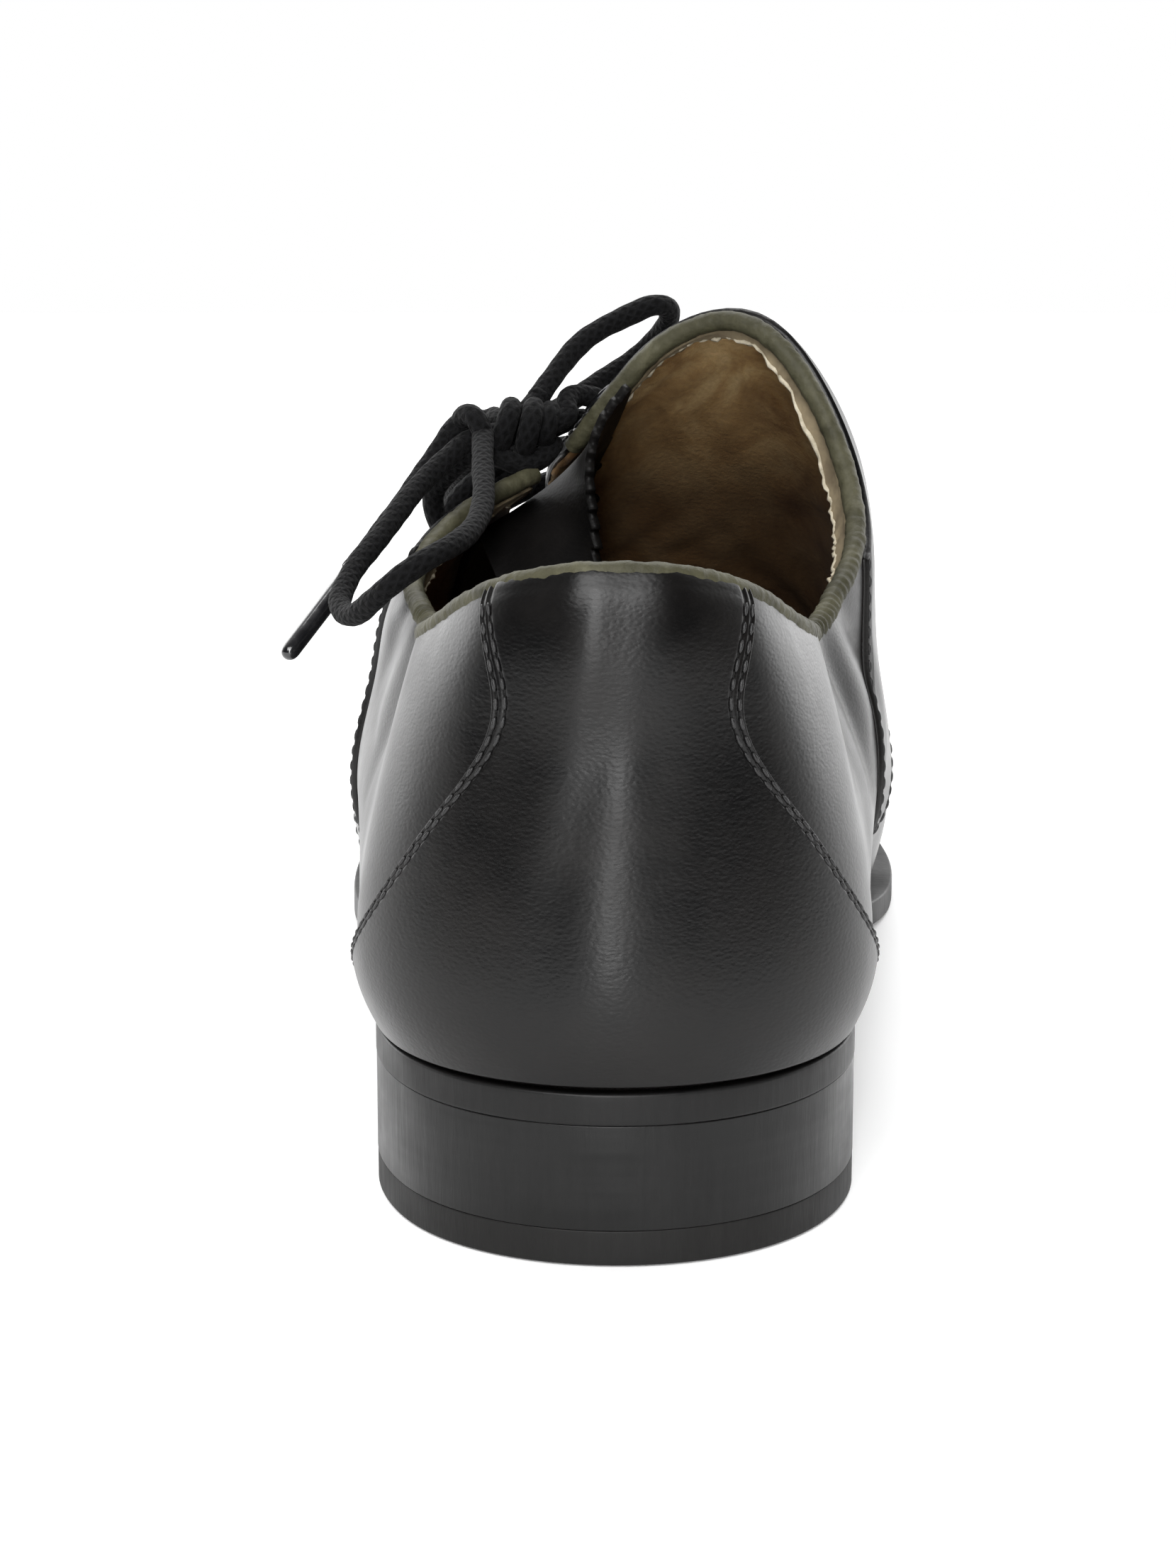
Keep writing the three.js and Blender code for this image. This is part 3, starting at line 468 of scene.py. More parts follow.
def tube_mesh(name, path, radius, sides, caps=True):
    """A round tube along a path in millimetres, with its length in metres down its UVs' second value."""
    path = np.asarray(path, float)
    radius = np.broadcast_to(radius, (len(path),)) if np.ndim(radius) < 2 else radius
    run = np.gradient(path, axis=0)
    run /= np.linalg.norm(run, axis=1)[:, None]
    normal = np.cross(run[0], (0.3, 0.2, 1.0))
    normals = []
    for step in run:
        normal = normal - (normal @ step) * step
        normal = normal / np.linalg.norm(normal)
        normals.append(normal)
    normals = np.array(normals)
    sidewise = np.cross(run, normals)
    turn = np.linspace(0, 2 * np.pi, sides + 1)
    spread = radius[:, None] if radius.ndim == 1 else np.concatenate([radius, radius[:, :1]], 1)
    cosine, sine = np.cos(turn)[None, :, None], np.sin(turn)[None, :, None]
    ring = normals[:, None] * cosine + sidewise[:, None] * sine
    points = path[:, None] + ring * spread[..., None]
    length = length_along(path) * METRE
    uvs = np.stack(np.broadcast_arrays(turn[None, :] / (2 * np.pi), length[:, None]), -1)
    count, around = points.shape[:2]
    faces = []
    for k in range(count - 1):
        for r in range(around - 1):
            a = k * around + r
            faces.append((a, a + 1, a + around + 1, a + around))
    points, uvs = points.reshape(-1, 3), uvs.reshape(-1, 2)
    if caps:
        first, final = len(points), len(points) + 1
        points = np.concatenate([points, path[[0, -1]]])
        uvs = np.concatenate([uvs, [(0.5, 0), (0.5, length[-1])]])
        base = (count - 1) * around
        faces += [(first, r + 1, r) for r in range(around - 1)]
        faces += [(final, base + r, base + r + 1) for r in range(around - 1)]
    return merged_mesh(name, points, faces, uvs)


def curve_through(points, spacing=0.8):
    """An even, smooth run through given points, in millimetres."""
    points = np.asarray(points, float)
    chord = np.concatenate([[0], np.cumsum(np.sqrt(np.linalg.norm(np.diff(points, axis=0), axis=1)))])
    fine = np.linspace(0, chord[-1], 40 * len(points))
    run = np.stack([smooth(chord, points[:, k])(fine) for k in range(3)], 1)
    length = length_along(run)
    even = np.linspace(0, length[-1], max(int(length[-1] / spacing), 4))
    return np.stack([np.interp(even, length, run[:, k]) for k in range(3)], 1)


def line_object(name, path):
    """A bare line for a Geometry Nodes tree to follow."""
    path = in_metres(path)
    mesh = bpy.data.meshes.new(name)
    mesh.from_pydata(path.tolist(), [(k, k + 1) for k in range(len(path) - 1)], [])
    return as_object(name, mesh, False)


def place(thing, finish, slot_name, *nodes):
    """Gives a finished piece its finish and its body, and hides the part's nodes that it stands for. The
    slot name is not used.
    """
    if not thing.data.materials:
        thing.data.materials.append(finish)
    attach(thing, "root")
    if nodes:
        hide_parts(*nodes)
    return thing


# Finishes.
class Finish:
    """A surface of one stuff: its shader's plain sockets, and the nodes that vary it."""

    def __init__(self, name, colour, roughness, **sockets):
        self.material = bpy.data.materials.new(name)
        self.material.use_nodes = True
        self.nodes = self.material.node_tree.nodes
        self.links = self.material.node_tree.links
        self.shader = self.nodes["Principled BSDF"]
        self.shader.inputs["Base Color"].default_value = (*colour, 1)
        self.shader.inputs["Roughness"].default_value = roughness
        for socket, value in sockets.items():
            self.shader.inputs[socket.replace("_", " ")].default_value = value
        self.height = None

    def add(self, kind, **settings):
        node = self.nodes.new(kind)
        for key, value in settings.items():
            if hasattr(node, key):
                setattr(node, key, value)
            else:
                node.inputs[key.replace("_", " ")].default_value = value
        return node

    def join(self, out, into):
        self.links.new(out, into)

    def coordinates(self, scale=(1, 1, 1)):
        mapping = self.add("ShaderNodeMapping")
        mapping.inputs["Scale"].default_value = scale
        self.join(self.add("ShaderNodeTexCoord").outputs["Object"], mapping.inputs["Vector"])
        return mapping.outputs["Vector"]

    def noise(self, where, scale, detail=3, rough=0.55, distortion=0):
        node = self.add(
            "ShaderNodeTexNoise", Scale=scale, Detail=detail, Roughness=rough, Distortion=distortion
        )
        self.join(where, node.inputs["Vector"])
        return node.outputs["Fac"]

    def cells(self, where, scale):
        node = self.add("ShaderNodeTexVoronoi", feature="SMOOTH_F1", Scale=scale, Randomness=1)
        self.join(where, node.inputs["Vector"])
        return node.outputs["Distance"]

    def remap(self, value, low, high, to_low, to_high):
        node = self.add(
            "ShaderNodeMapRange", From_Min=low, From_Max=high, To_Min=to_low, To_Max=to_high
        )
        self.join(value, node.inputs["Value"])
        return node.outputs["Result"]

    def higher(self, a, b):
        node = self.add("ShaderNodeMath", operation="MAXIMUM")
        self.join(a, node.inputs[0])
        self.join(b, node.inputs[1])
        return node.outputs[0]

    def colours(self, value, *stops):
        ramp = self.add("ShaderNodeValToRGB")
        band = ramp.color_ramp
        while len(band.elements) < len(stops):
            band.elements.new(0.5)
        for element, (position, colour) in zip(band.elements, stops):
            element.position = position
            element.color = (*colour, 1)
        self.join(value, ramp.inputs["Fac"])
        return ramp.outputs["Color"]

    def blend(self, share, a, b):
        node = self.add("ShaderNodeMix", data_type="RGBA")
        self.join(share, node.inputs["Factor"])
        for socket, colour in ((node.inputs[6], a), (node.inputs[7], b)):
            if isinstance(colour, tuple):
                socket.default_value = (*colour, 1)
            else:
                self.join(colour, socket)
        return node.outputs[2]

    def bump(self, height, distance, strength=1.0):
        node = self.add("ShaderNodeBump", Distance=distance, Strength=strength)
        self.join(height, node.inputs["Height"])
        if self.height is not None:
            self.join(self.height, node.inputs["Normal"])
        self.height = node.outputs["Normal"]
        self.join(self.height, self.shader.inputs["Normal"])

    def colour(self, out):
        self.join(out, self.shader.inputs["Base Color"])

    def rough(self, out):
        self.join(out, self.shader.inputs["Roughness"])


BLACK_DARK, BLACK_WORN = (0.002, 0.0019, 0.002), (0.006, 0.0052, 0.0048)


def black_leather(name, roughness=0.3, grain=1.0, shine=0.28):
    """Smooth black calf with a fine grain, a little dull and brown where it is rubbed."""
    finish = Finish(name, BLACK_DARK, roughness, Specular_IOR_Level=shine)
    where = finish.coordinates((0.8, 0.8, 1.35))
    blotch = finish.noise(finish.coordinates(), 55, 4, 0.6)
    finish.colour(finish.colours(blotch, (0.35, BLACK_DARK), (0.72, BLACK_WORN)))
    finish.rough(finish.remap(blotch, 0.3, 0.75, roughness - 0.04, roughness + 0.08))
    finish.bump(finish.noise(where, 1500, 2, 0.5, 0.3), 0.000022 * grain)
    finish.bump(finish.cells(where, 1700), 0.000025 * grain)
    return finish.material


TAN_SHADES = ((0.3, (0.2, 0.1, 0.035)), (0.5, (0.52, 0.33, 0.14)), (0.7, (0.78, 0.56, 0.28)))
# Flecks, and the colour of the painted shade deep in the shoe.
TAN_FLECK, TAN_PAINTED_SHADE = (0.26, 0.16, 0.08), (0.07, 0.033, 0.013)
# Heights in metres where the painted shade deep in the shoe begins and where it is full.
PAINTED_SHADE_FROM, PAINTED_SHADE_FULL_AT = 0.112, 0.082


def tan_lining(name):
    """Brushed tan lining, darkened in blotches by wear, with painted shade that darkens it all over deep in
    the shoe.
    """
    finish = Finish(
        name,
        (0.2, 0.12, 0.06),
        0.92,
        Specular_IOR_Level=0.08,
        Sheen_Weight=0.03,
        Sheen_Roughness=0.5,
    )
    where = finish.coordinates()
    blotch = finish.noise(finish.coordinates((1, 0.6, 0.7)), 62, 4, 0.55, 1.3)
    fine = finish.noise(where, 900, 3, 0.7)
    body = finish.colours(blotch, *TAN_SHADES)
    body = finish.blend(finish.remap(fine, 0.35, 0.7, 0, 0.35), body, TAN_FLECK)
    # Painted shade: the colour turns dark brown the lower it lies in the shoe.
    height = finish.add("ShaderNodeSeparateXYZ")
    finish.join(where, height.inputs[0])
    deep = finish.remap(height.outputs["Z"], PAINTED_SHADE_FROM, PAINTED_SHADE_FULL_AT, 0, 0.85)
    finish.colour(finish.blend(deep, body, TAN_PAINTED_SHADE))
    finish.bump(fine, 0.00022)
    finish.bump(finish.noise(finish.coordinates((1, 0.4, 0.55)), 70, 2, 0.45), 0.0035, 0.7)
    return finish.material


OLIVE_SHADES = (
    (0.3, (0.026, 0.0245, 0.013)),
    (0.5, (0.054, 0.051, 0.029)),
    (0.75, (0.1, 0.095, 0.058)),
)
OLIVE_FLECK = (0.04, 0.038, 0.02)


def olive_binding(name):
    """Thin olive leather, its tone wandering between pale and dark patches, with dark flecks."""
    finish = Finish(name, (0.1, 0.09, 0.045), 0.6, Specular_IOR_Level=0.25)
    where = finish.coordinates()
    tone = finish.noise(where, 130, 4, 0.6, 0.5)
    fine = finish.noise(where, 1100, 2)
    body = finish.colours(tone, *OLIVE_SHADES)
    finish.colour(finish.blend(finish.remap(fine, 0.4, 0.65, 0, 0.3), body, OLIVE_FLECK))
    finish.bump(fine, 0.00012)
    finish.bump(finish.noise(where, 420, 3, 0.6), 0.00025)
    return finish.material


def cut_leather(name, body, dark, roughness=0.55, layers=0.0, streak=1.0):
    """An edge of packed leather, inked and burnished, with faint layers or fine upright marks."""
    finish = Finish(name, body, roughness, Specular_IOR_Level=0.28)
    patch = finish.noise(finish.coordinates(), 70, 4)
    marks = finish.noise(finish.coordinates((1, 1, 0.14)), 620, 3, 0.65)
    patchy = finish.colours(patch, (0.3, dark), (0.7, body))
    finish.colour(finish.blend(finish.remap(marks, 0.38, 0.68, 0, 0.6), patchy, dark))
    finish.rough(finish.remap(patch, 0.3, 0.7, roughness - 0.1, roughness + 0.12))
    finish.bump(marks, 0.00012 * streak)
    if layers:
        finish.bump(finish.noise(finish.coordinates((0.02, 0.02, 1)), layers, 2, 0.5), 0.00025)
    return finish.material


# The lace's yarns: how many lie side by side round it, and how many follow each other down a metre.
WAVE_PERIOD = 2 * math.pi / 20
YARNS_ROUND, YARNS_A_METRE = 9, 700
# The lace's two colours: the darker one is painted shade between the yarns, the lighter one the yarns'
# tops.
CORD_PAINTED_SHADE, CORD_LIGHT = (0.0012, 0.0012, 0.0012), (0.0055, 0.0055, 0.006)


def cord_finish(name):
    """A round braided lace: slanting yarns over and under each other, with short loose fibres."""
    finish = Finish(
        name,
        (0.004, 0.004, 0.004),
        0.8,
        Specular_IOR_Level=0.12,
        Sheen_Weight=0.03,
        Sheen_Roughness=0.4,
    )
    slanting = []
    for lean in (math.pi / 4, -math.pi / 4):
        yarn = finish.add("ShaderNodeMapping")
        finish.join(finish.add("ShaderNodeTexCoord").outputs["UV"], yarn.inputs["Vector"])
        yarn.inputs["Scale"].default_value = (YARNS_ROUND * WAVE_PERIOD, YARNS_A_METRE * WAVE_PERIOD, 1)
        yarn.inputs["Rotation"].default_value = (0, 0, lean)
        wave = finish.add("ShaderNodeTexWave", Scale=1.0, Distortion=0.4, Detail=2, Detail_Scale=2)
        finish.join(yarn.outputs["Vector"], wave.inputs["Vector"])
        slanting.append(wave.outputs["Fac"])
    braid = finish.higher(*slanting)
    fibres = finish.noise(finish.coordinates(), 2400, 3, 0.7)
    # Painted shade: the colour follows the braid's bump, darker where it lies low between the yarns.
    finish.colour(finish.blend(braid, CORD_PAINTED_SHADE, CORD_LIGHT))
    finish.bump(braid, 0.00022)
    finish.bump(fibres, 0.0002)
    return finish.material


def plain_detail(name, colour, other, roughness, scale=300, bump=0.00006, **sockets):
    """A plain stuff that wanders between two colours, with a light grain."""
    finish = Finish(name, colour, roughness, **sockets)
    tone = finish.noise(finish.coordinates(), scale, 3, 0.6)
    finish.colour(finish.colours(tone, (0.35, colour), (0.7, other)))
    finish.rough(finish.remap(tone, 0.3, 0.7, max(roughness - 0.08, 0.02), roughness + 0.1))
    finish.bump(tone, bump)
    return finish.material


UPPER_LEATHER = black_leather("black calf of the upper")
COUNTER_LEATHER = black_leather("black calf of the counter", roughness=0.31)
PANEL_LEATHER = black_leather("black calf of the quarter panels", roughness=0.31)
TONGUE_LEATHER = black_leather("black leather of the tongue", roughness=0.5, grain=1.6, shine=0.14)
LINING = tan_lining("tan brushed lining")
BINDING_LEATHER = olive_binding("olive binding leather")
TURNING_SUEDE = plain_detail(
    "pale flesh side of the binding", (0.13, 0.1, 0.06), (0.26, 0.21, 0.13), 0.9, 260, 0.00025
)
CUT_EDGE = plain_detail(
    "pale cut edge of the binding", (0.32, 0.28, 0.2), (0.6, 0.54, 0.42), 0.9, 600, 0.00015
)
SOLE_EDGE = cut_leather(
    "black sole edge", (0.007, 0.0065, 0.0065), (0.002, 0.002, 0.002), 0.45, streak=0.5
)
HEEL_EDGE = cut_leather(
    "black stacked heel", (0.008, 0.0078, 0.0078), (0.003, 0.003, 0.003), 0.36, 220, 0.5
)
TOP_PIECE_RUBBER = cut_leather(
    "rubber of the top piece", (0.011, 0.0105, 0.01), (0.005, 0.0047, 0.0045), 0.6
)
# The insole is coloured a dark brown, far darker than the tan lining: painted shade deep in the shoe.
INSOLE_LEATHER = plain_detail(
    "insole in painted shade", (0.022, 0.014, 0.009), (0.07, 0.045, 0.028), 0.75, 90, 0.0003
)
EYELET_METAL = plain_detail(
    "black enamelled eyelets", (0.01, 0.01, 0.011), (0.03, 0.03, 0.032), 0.22, 700, Metallic=0.7
)
CORD = cord_finish("black braided lace")
AGLET_PLASTIC = plain_detail(
    "black aglet film", (0.006, 0.006, 0.007), (0.014, 0.014, 0.015), 0.16, 420, Coat_Weight=0.6
)
THREAD = plain_detail(
    "black waxed thread", (0.005, 0.005, 0.0055), (0.014, 0.013, 0.013), 0.5, 1500, 0.0001
)


# Geometry Nodes trees: each makes what follows a line or repeats on it.
class Tree:
    """A tree with its sizes as named inputs, in metres, that ends in plain faces with a finish."""

    def __init__(self, name, **inputs):
        self.group = bpy.data.node_groups.new(name, "GeometryNodeTree")
        self.socket("Geometry", "INPUT", "NodeSocketGeometry")
        for label, value in inputs.items():
            kind = "NodeSocketInt" if isinstance(value, int) else "NodeSocketFloat"
            self.socket(label.replace("_", " "), "INPUT", kind).default_value = value
        self.socket("Geometry", "OUTPUT", "NodeSocketGeometry")
        self.enter = self.group.nodes.new("NodeGroupInput").outputs
        self.leave = self.group.nodes.new("NodeGroupOutput")

    def socket(self, label, way, kind):
        return self.group.interface.new_socket(label, in_out=way, socket_type=kind)

    def add(self, kind, settings=None, out=0, **inputs):
        """Adds a node and gives one output. An input goes by its label or, after a line, its number."""
        node = self.group.nodes.new(kind)
        for key, value in (settings or {}).items():
            setattr(node, key, value)
        for key, value in inputs.items():
            into = node.inputs[int(key[1:]) if key[1:].isdigit() else key.replace("_", " ")]
            if isinstance(value, bpy.types.NodeSocket):
                self.group.links.new(value, into)
            else:
                into.default_value = value
        return node.outputs[out]

    def calculate(self, operation, *values):
        inputs = {f"_{k}": value for k, value in enumerate(values)}
        return self.add("ShaderNodeMath", {"operation": operation}, **inputs)

    def even_line(self, step):
        """The line that the tree is given, as points a step apart."""
        line = self.add("GeometryNodeMeshToCurve", Mesh=self.enter["Geometry"])
        return self.add("GeometryNodeResampleCurve", {"mode": "LENGTH"}, Curve=line, Length=step)

    def stored(self, name, kind="FLOAT"):
        return self.add("GeometryNodeInputNamedAttribute", {"data_type": kind}, Name=name)

    def turned(self, axis, towards):
        return self.add("FunctionNodeAlignRotationToVector", {"axis": axis}, Vector=towards)

    def ring(self, sides, radius):
        return self.add("GeometryNodeCurvePrimitiveCircle", Resolution=sides, Radius=self.enter[radius])

    def end(self, geometry, finish):
        real = self.add("GeometryNodeRealizeInstances", Geometry=geometry)
        rounded = self.add("GeometryNodeSetShadeSmooth", Geometry=real)
        painted = self.add("GeometryNodeSetMaterial", Geometry=rounded, Material=finish)
        self.group.links.new(painted, self.leave.inputs[0])
        return self.group


def grow(thing, tree, **values):
    """Runs a tree on an object and keeps its result as a plain mesh."""
    modifier = thing.modifiers.new(tree.name, "NODES")
    modifier.node_group = tree
    for item in tree.interface.items_tree:
        key = item.name.replace(" ", "_")
        if item.in_out == "INPUT" and key in values:
            modifier[item.identifier] = values[key]
    graph = bpy.context.evaluated_depsgraph_get()
    grown = bpy.data.meshes.new_from_object(thing.evaluated_get(graph), depsgraph=graph)
    thing.modifiers.remove(modifier)
    thing.data = grown
    return thing


STITCH_PITCH, STITCH_THREAD = 0.0026, 0.0006


def stitch_tree():
    """Sewn stitches: one small bead of thread for each pitch of a line, laid along it."""
    tree = Tree("stitches", Pitch=STITCH_PITCH, Thread=STITCH_THREAD, Length_Share=0.8, Seed=3)
    pitch, thread = tree.enter["Pitch"], tree.enter["Thread"]
    even = tree.even_line(pitch)
    turned = tree.turned("X", tree.add("GeometryNodeInputTangent"))
    bead = tree.add("GeometryNodeMeshUVSphere", Segments=8, Rings=5, Radius=0.5)
    long = tree.calculate("MULTIPLY", pitch, tree.enter["Length Share"])
    size = tree.add("ShaderNodeCombineXYZ", X=long, Y=thread, Z=thread)
    sized = tree.add("GeometryNodeTransform", Geometry=bead, Scale=size)
    uneven = tree.add(
        "FunctionNodeRandomValue",
        {"data_type": "FLOAT_VECTOR"},
        _0=(0.88, 0.85, 0.85),
        _1=(1.06, 1.15, 1.15),
        Seed=tree.enter["Seed"],
    )
    sewn = tree.add(
        "GeometryNodeInstanceOnPoints", Points=even, Instance=sized, Rotation=turned, Scale=uneven
    )
    return tree.end(sewn, THREAD)


BINDING_STEP = 0.00032
WHOLE_TURN = 6.28318


def binding_tree():
    """A rolled strip round a line, drawn into small wrinkles where the line's gather value says so."""
    tree = Tree(
        "rolled binding", Radius=0.0016, Gather_Pitch=0.0017, Gather_Depth=0.0002, Unevenness=0.00018
    )
    even = tree.even_line(BINDING_STEP)
    along = tree.add("GeometryNodeSplineParameter", out="Length")
    kept = tree.add(
        "GeometryNodeStoreNamedAttribute",
        {"data_type": "FLOAT", "domain": "POINT"},
        Geometry=even,
        Name="along",
        Value=along,
    )
    ring = tree.ring(18, "Radius")
    tube = tree.add("GeometryNodeCurveToMesh", Curve=kept, Profile_Curve=ring, Fill_Caps=True)
    far, gather = tree.stored("along"), tree.stored("gather")
    here = tree.add("GeometryNodeInputPosition")
    wander = tree.add("ShaderNodeTexNoise", Vector=here, Scale=260.0, Detail=2.0)
    count = tree.calculate("DIVIDE", far, tree.enter["Gather Pitch"])
    turns = tree.calculate("MULTIPLY", tree.calculate("ADD", count, wander), WHOLE_TURN)
    fold = tree.calculate("SINE", turns)
    deep = tree.calculate("MULTIPLY", gather, tree.enter["Gather Depth"])
    folded = tree.calculate("MULTIPLY", fold, deep)
    loose = tree.add("ShaderNodeTexNoise", Vector=here, Scale=480.0, Detail=3.0)
    centred = tree.calculate("SUBTRACT", loose, 0.5)
    rough = tree.calculate("MULTIPLY", centred, tree.enter["Unevenness"])
    both = tree.calculate("ADD", folded, tree.calculate("MULTIPLY", rough, 4.0))
    facing = tree.add("GeometryNodeInputNormal")
    push = tree.add("ShaderNodeVectorMath", {"operation": "SCALE"}, _0=facing, Scale=both)
    moved = tree.add("GeometryNodeSetPosition", Geometry=tube, Offset=push)
    return tree.end(moved, BINDING_LEATHER)


def eyelet_tree():
    """A rolled metal ring on each point, facing the way that the point says."""
    tree = Tree("eyelets", Ring_Radius=0.00265, Roll_Radius=0.00075)
    ring, roll = tree.ring(22, "Ring Radius"), tree.ring(10, "Roll Radius")
    made = tree.add("GeometryNodeCurveToMesh", Curve=ring, Profile_Curve=roll)
    turned = tree.turned("Z", tree.stored("facing", "FLOAT_VECTOR"))
    spots = tree.enter["Geometry"]
    set_in = tree.add("GeometryNodeInstanceOnPoints", Points=spots, Instance=made, Rotation=turned)
    return tree.end(set_in, EYELET_METAL)


def vertex_values(mesh, name, values, vectors=False):
    """Stores a value, or a vector, on each vertex for a tree to read."""
    layer = mesh.attributes.new(name, "FLOAT_VECTOR" if vectors else "FLOAT", "POINT")
    layer.data.foreach_set("vector" if vectors else "value", np.asarray(values, float).ravel())


# The lace's runs by the part's own points, y from the back of the heel: the rises out of the top eyelets,
# and the free loops and ends.
RUNS = {
    "rise_medial": [(-5.6, 131.4, 106.6), (-6.8, 127.4, 104), (-7.4, 123, 101.4)],
    "rise_lateral": [
        (-31.7, 130.9, 82.9), (-30, 130.6, 86.5), (-27.2, 128.6, 91.3), (-22.3, 124.9, 96.4),
    ],
    "loop_lateral": [
        (-21.1, 116.5, 98.8), (-20.9, 107, 95.4), (-20.5, 98, 92.4), (-20.8, 90, 89.9),
        (-22.5, 82, 88), (-25.3, 76, 86.8), (-29.1, 72, 85.2), (-33.2, 71, 82.4), (-37.4, 74, 78.4),
        (-40.3, 79, 75.8), (-42.6, 85, 76.2), (-42.2, 90, 78.3), (-40.4, 95, 81.2), (-36.7, 101, 85.2),
        (-33.4, 107, 89.3), (-29.8, 113, 92.8), (-24.6, 117.8, 97.2),
    ],
    "loop_medial": [
        (-12.4, 124.3, 103.9), (-8.4, 128.6, 109), (-3.9, 131.8, 113.4), (2.6, 134, 116.7),
        (7.3, 135, 118.4), (9.6, 137.5, 117.2), (8.9, 141, 114), (6.2, 143.5, 110.5), (1.5, 142.6, 107),
        (-4.4, 138.6, 103.6), (-8.4, 134, 101.4), (-12.6, 127, 99.4),
    ],
    "end_lateral": [
        (-26.6, 121, 98.7), (-30.2, 119.6, 93.4), (-33.6, 116, 88.8), (-37, 110.6, 84.6),
        (-39.6, 105, 81.6), (-41.6, 100, 79.4),
    ],
    "end_forward": [
        (-19.4, 126.4, 100.6), (-21.6, 134, 98.6), (-23.6, 143, 94), (-25.6, 152, 88.6),
        (-27.6, 161, 83), (-29.6, 170, 77.4),
    ],
}
AGLET_TOWARDS = {"end_lateral": (-49.9, 86, 69.7), "end_forward": (-34.5, 188, 66)}
# The aglet's film: how far along from the cord's last point, and how wide there, in millimetres.
AGLET_STEPS = (-2.6, -0.6, 0, 0.5, 5, 10, 15, 20, 20.8, 21.4, 21.7)
AGLET_WIDTHS = (1.62, 1.72, 1.78, 1.6, 1.52, 1.5, 1.48, 1.46, 1.3, 0.95, 0.4)
LACE_STEP = 0.8
LACE_SIDES = 16


def lace_tube(name, path):
    """The lace is never quite even: it swells and thins a little along its run."""
    turn = np.linspace(0, 2 * np.pi, LACE_SIDES + 1)[:-1]
    length = np.arange(len(path))[:, None] * LACE_STEP
    swelling = 1 + 0.03 * np.sin(length * 0.55 + 2 * turn) + 0.02 * np.sin(length * 1.7 - turn)
    return as_object(name, tube_mesh(name, path, LACE / 2 * swelling, LACE_SIDES))


def make_aglet(name, tip):
    """The plastic film round a lace end, from a little before its last point."""
    run_on = np.array(AGLET_TOWARDS[name], float) - tip
    run_on /= np.linalg.norm(run_on)
    film = tube_mesh("aglet", tip + np.array(AGLET_STEPS)[:, None] * run_on, np.array(AGLET_WIDTHS), 20)
    which = name.split("_")[1]
    return place(as_object("aglet_film_" + which, film), AGLET_PLASTIC, "aglet_plastic", "aglet_" + which)


def make_lace():
    """The free runs first, each a cord; the held part and the knot follow further down."""
    for name, points in RUNS.items():
        if name.startswith("rise"):
            continue
        path = curve_through(points)
        run = place(lace_tube("lace_" + name + "_braid", path), CORD, "black_cord", "lace_" + name)
        with_pieces = [make_aglet(name, path[-1])] if name in AGLET_TOWARDS else []


make_lace()


# The upper's outer leather and its lining are two walls, sewn together at the edge under the binding.
MEDIAL_TIP, LATERAL_TIP = 0.43, 0.405
EDGES = {-1: lambda at: LATERAL_EDGE["across"](at), 1: lambda at: MEDIAL_EDGE["across"](at)}


def edge_beyond(u, side, reach):
    """The across value that lies a reach in millimetres beyond the cut edge."""
    own = EDGES[side](station_of(u))
    step = 1e-3
    pace = np.linalg.norm(surface(u, own + step) - surface(u, own - step), axis=-1) / (2 * step)
    return own - side * np.asarray(reach) / pace


def down_the_wall(u, side, downs):
    """The across value at shares of the way from the cut edge down to the sole."""
    edge = EDGES[side](station_of(u))
    return edge + (side - edge) * downs


def bound_share(u, side):
    """1 where the cut edge is bound, 0 along the facings."""
    tip = MEDIAL_TIP if side > 0 else LATERAL_TIP
    return np.clip((tip + 0.004 - station_of(u)) / 0.01, 0, 1)


def ragged(u, side, size):
    """A cut edge's wander in millimetres."""
    s = np.asarray(u) * 900 + side * 11
    return size * (0.5 * np.sin(s * 0.31) + 0.3 * np.sin(s * 0.83 + 1.2) + 0.2 * np.sin(s * 1.9 + 0.4))


def upper_grid(columns, rows, vamp_rows, beyond):
    """(u, w) for the wall's grid: the lateral side from the sole up, the vamp, the medial side down."""
    shares = np.linspace(0, 1, rows + 1) ** 1.15
    u = np.array(columns)
    tops = {side: edge_beyond(u, side, beyond(u, side)) for side in (-1, 1)}
    outer = tops[-1][:, None] + (-1 - tops[-1])[:, None] * shares[::-1]
    inner = tops[1][:, None] + (1 - tops[1])[:, None] * shares
    across = np.linspace(0, 1, vamp_rows + 1)[1:-1]
    vamp = tops[-1][:, None] + (tops[1] - tops[-1])[:, None] * across
    w = np.concatenate([outer, vamp, inner], 1)
    return np.broadcast_to(u[:, None], w.shape), w


LINING_GAP = 0.1
OUTER_BEYOND, LINING_BEYOND = 1.5, 1.3
OPEN_COLUMNS, CLOSED_COLUMNS = 170, 72
WALL_ROWS, VAMP_ROWS = 48, 26


def slack_inside(u, w):
    """The lining's inner face, slack in soft folds that die out at the topline and round the heel."""
    run = station_of(u) * 300
    comes = 0.5 + 0.5 * np.sin(run * 0.11 + w * 9)
    slack = 0.3 * np.sin(w * 62 + run * 0.34 + 1.4 * np.sin(run * 0.13)) * comes
    slack = slack + 0.24 * np.sin(w * 36 - run * 0.31 + 2 * np.sin(w * 11)) * (1 - comes)
    slack = slack + 0.15 * np.sin(w * 19)
    side = np.where(w > 0, 1, -1)
    below = np.clip(np.abs(w - EDGES[1](station_of(u))) * 14, 0, 1) * (side > 0)
    below = below + np.clip(np.abs(w - EDGES[-1](station_of(u))) * 14, 0, 1) * (side < 0)
    return -WALL - LINING_GAP - slack * np.clip((station_of(u) - 0.02) * 20, 0, 1) * below


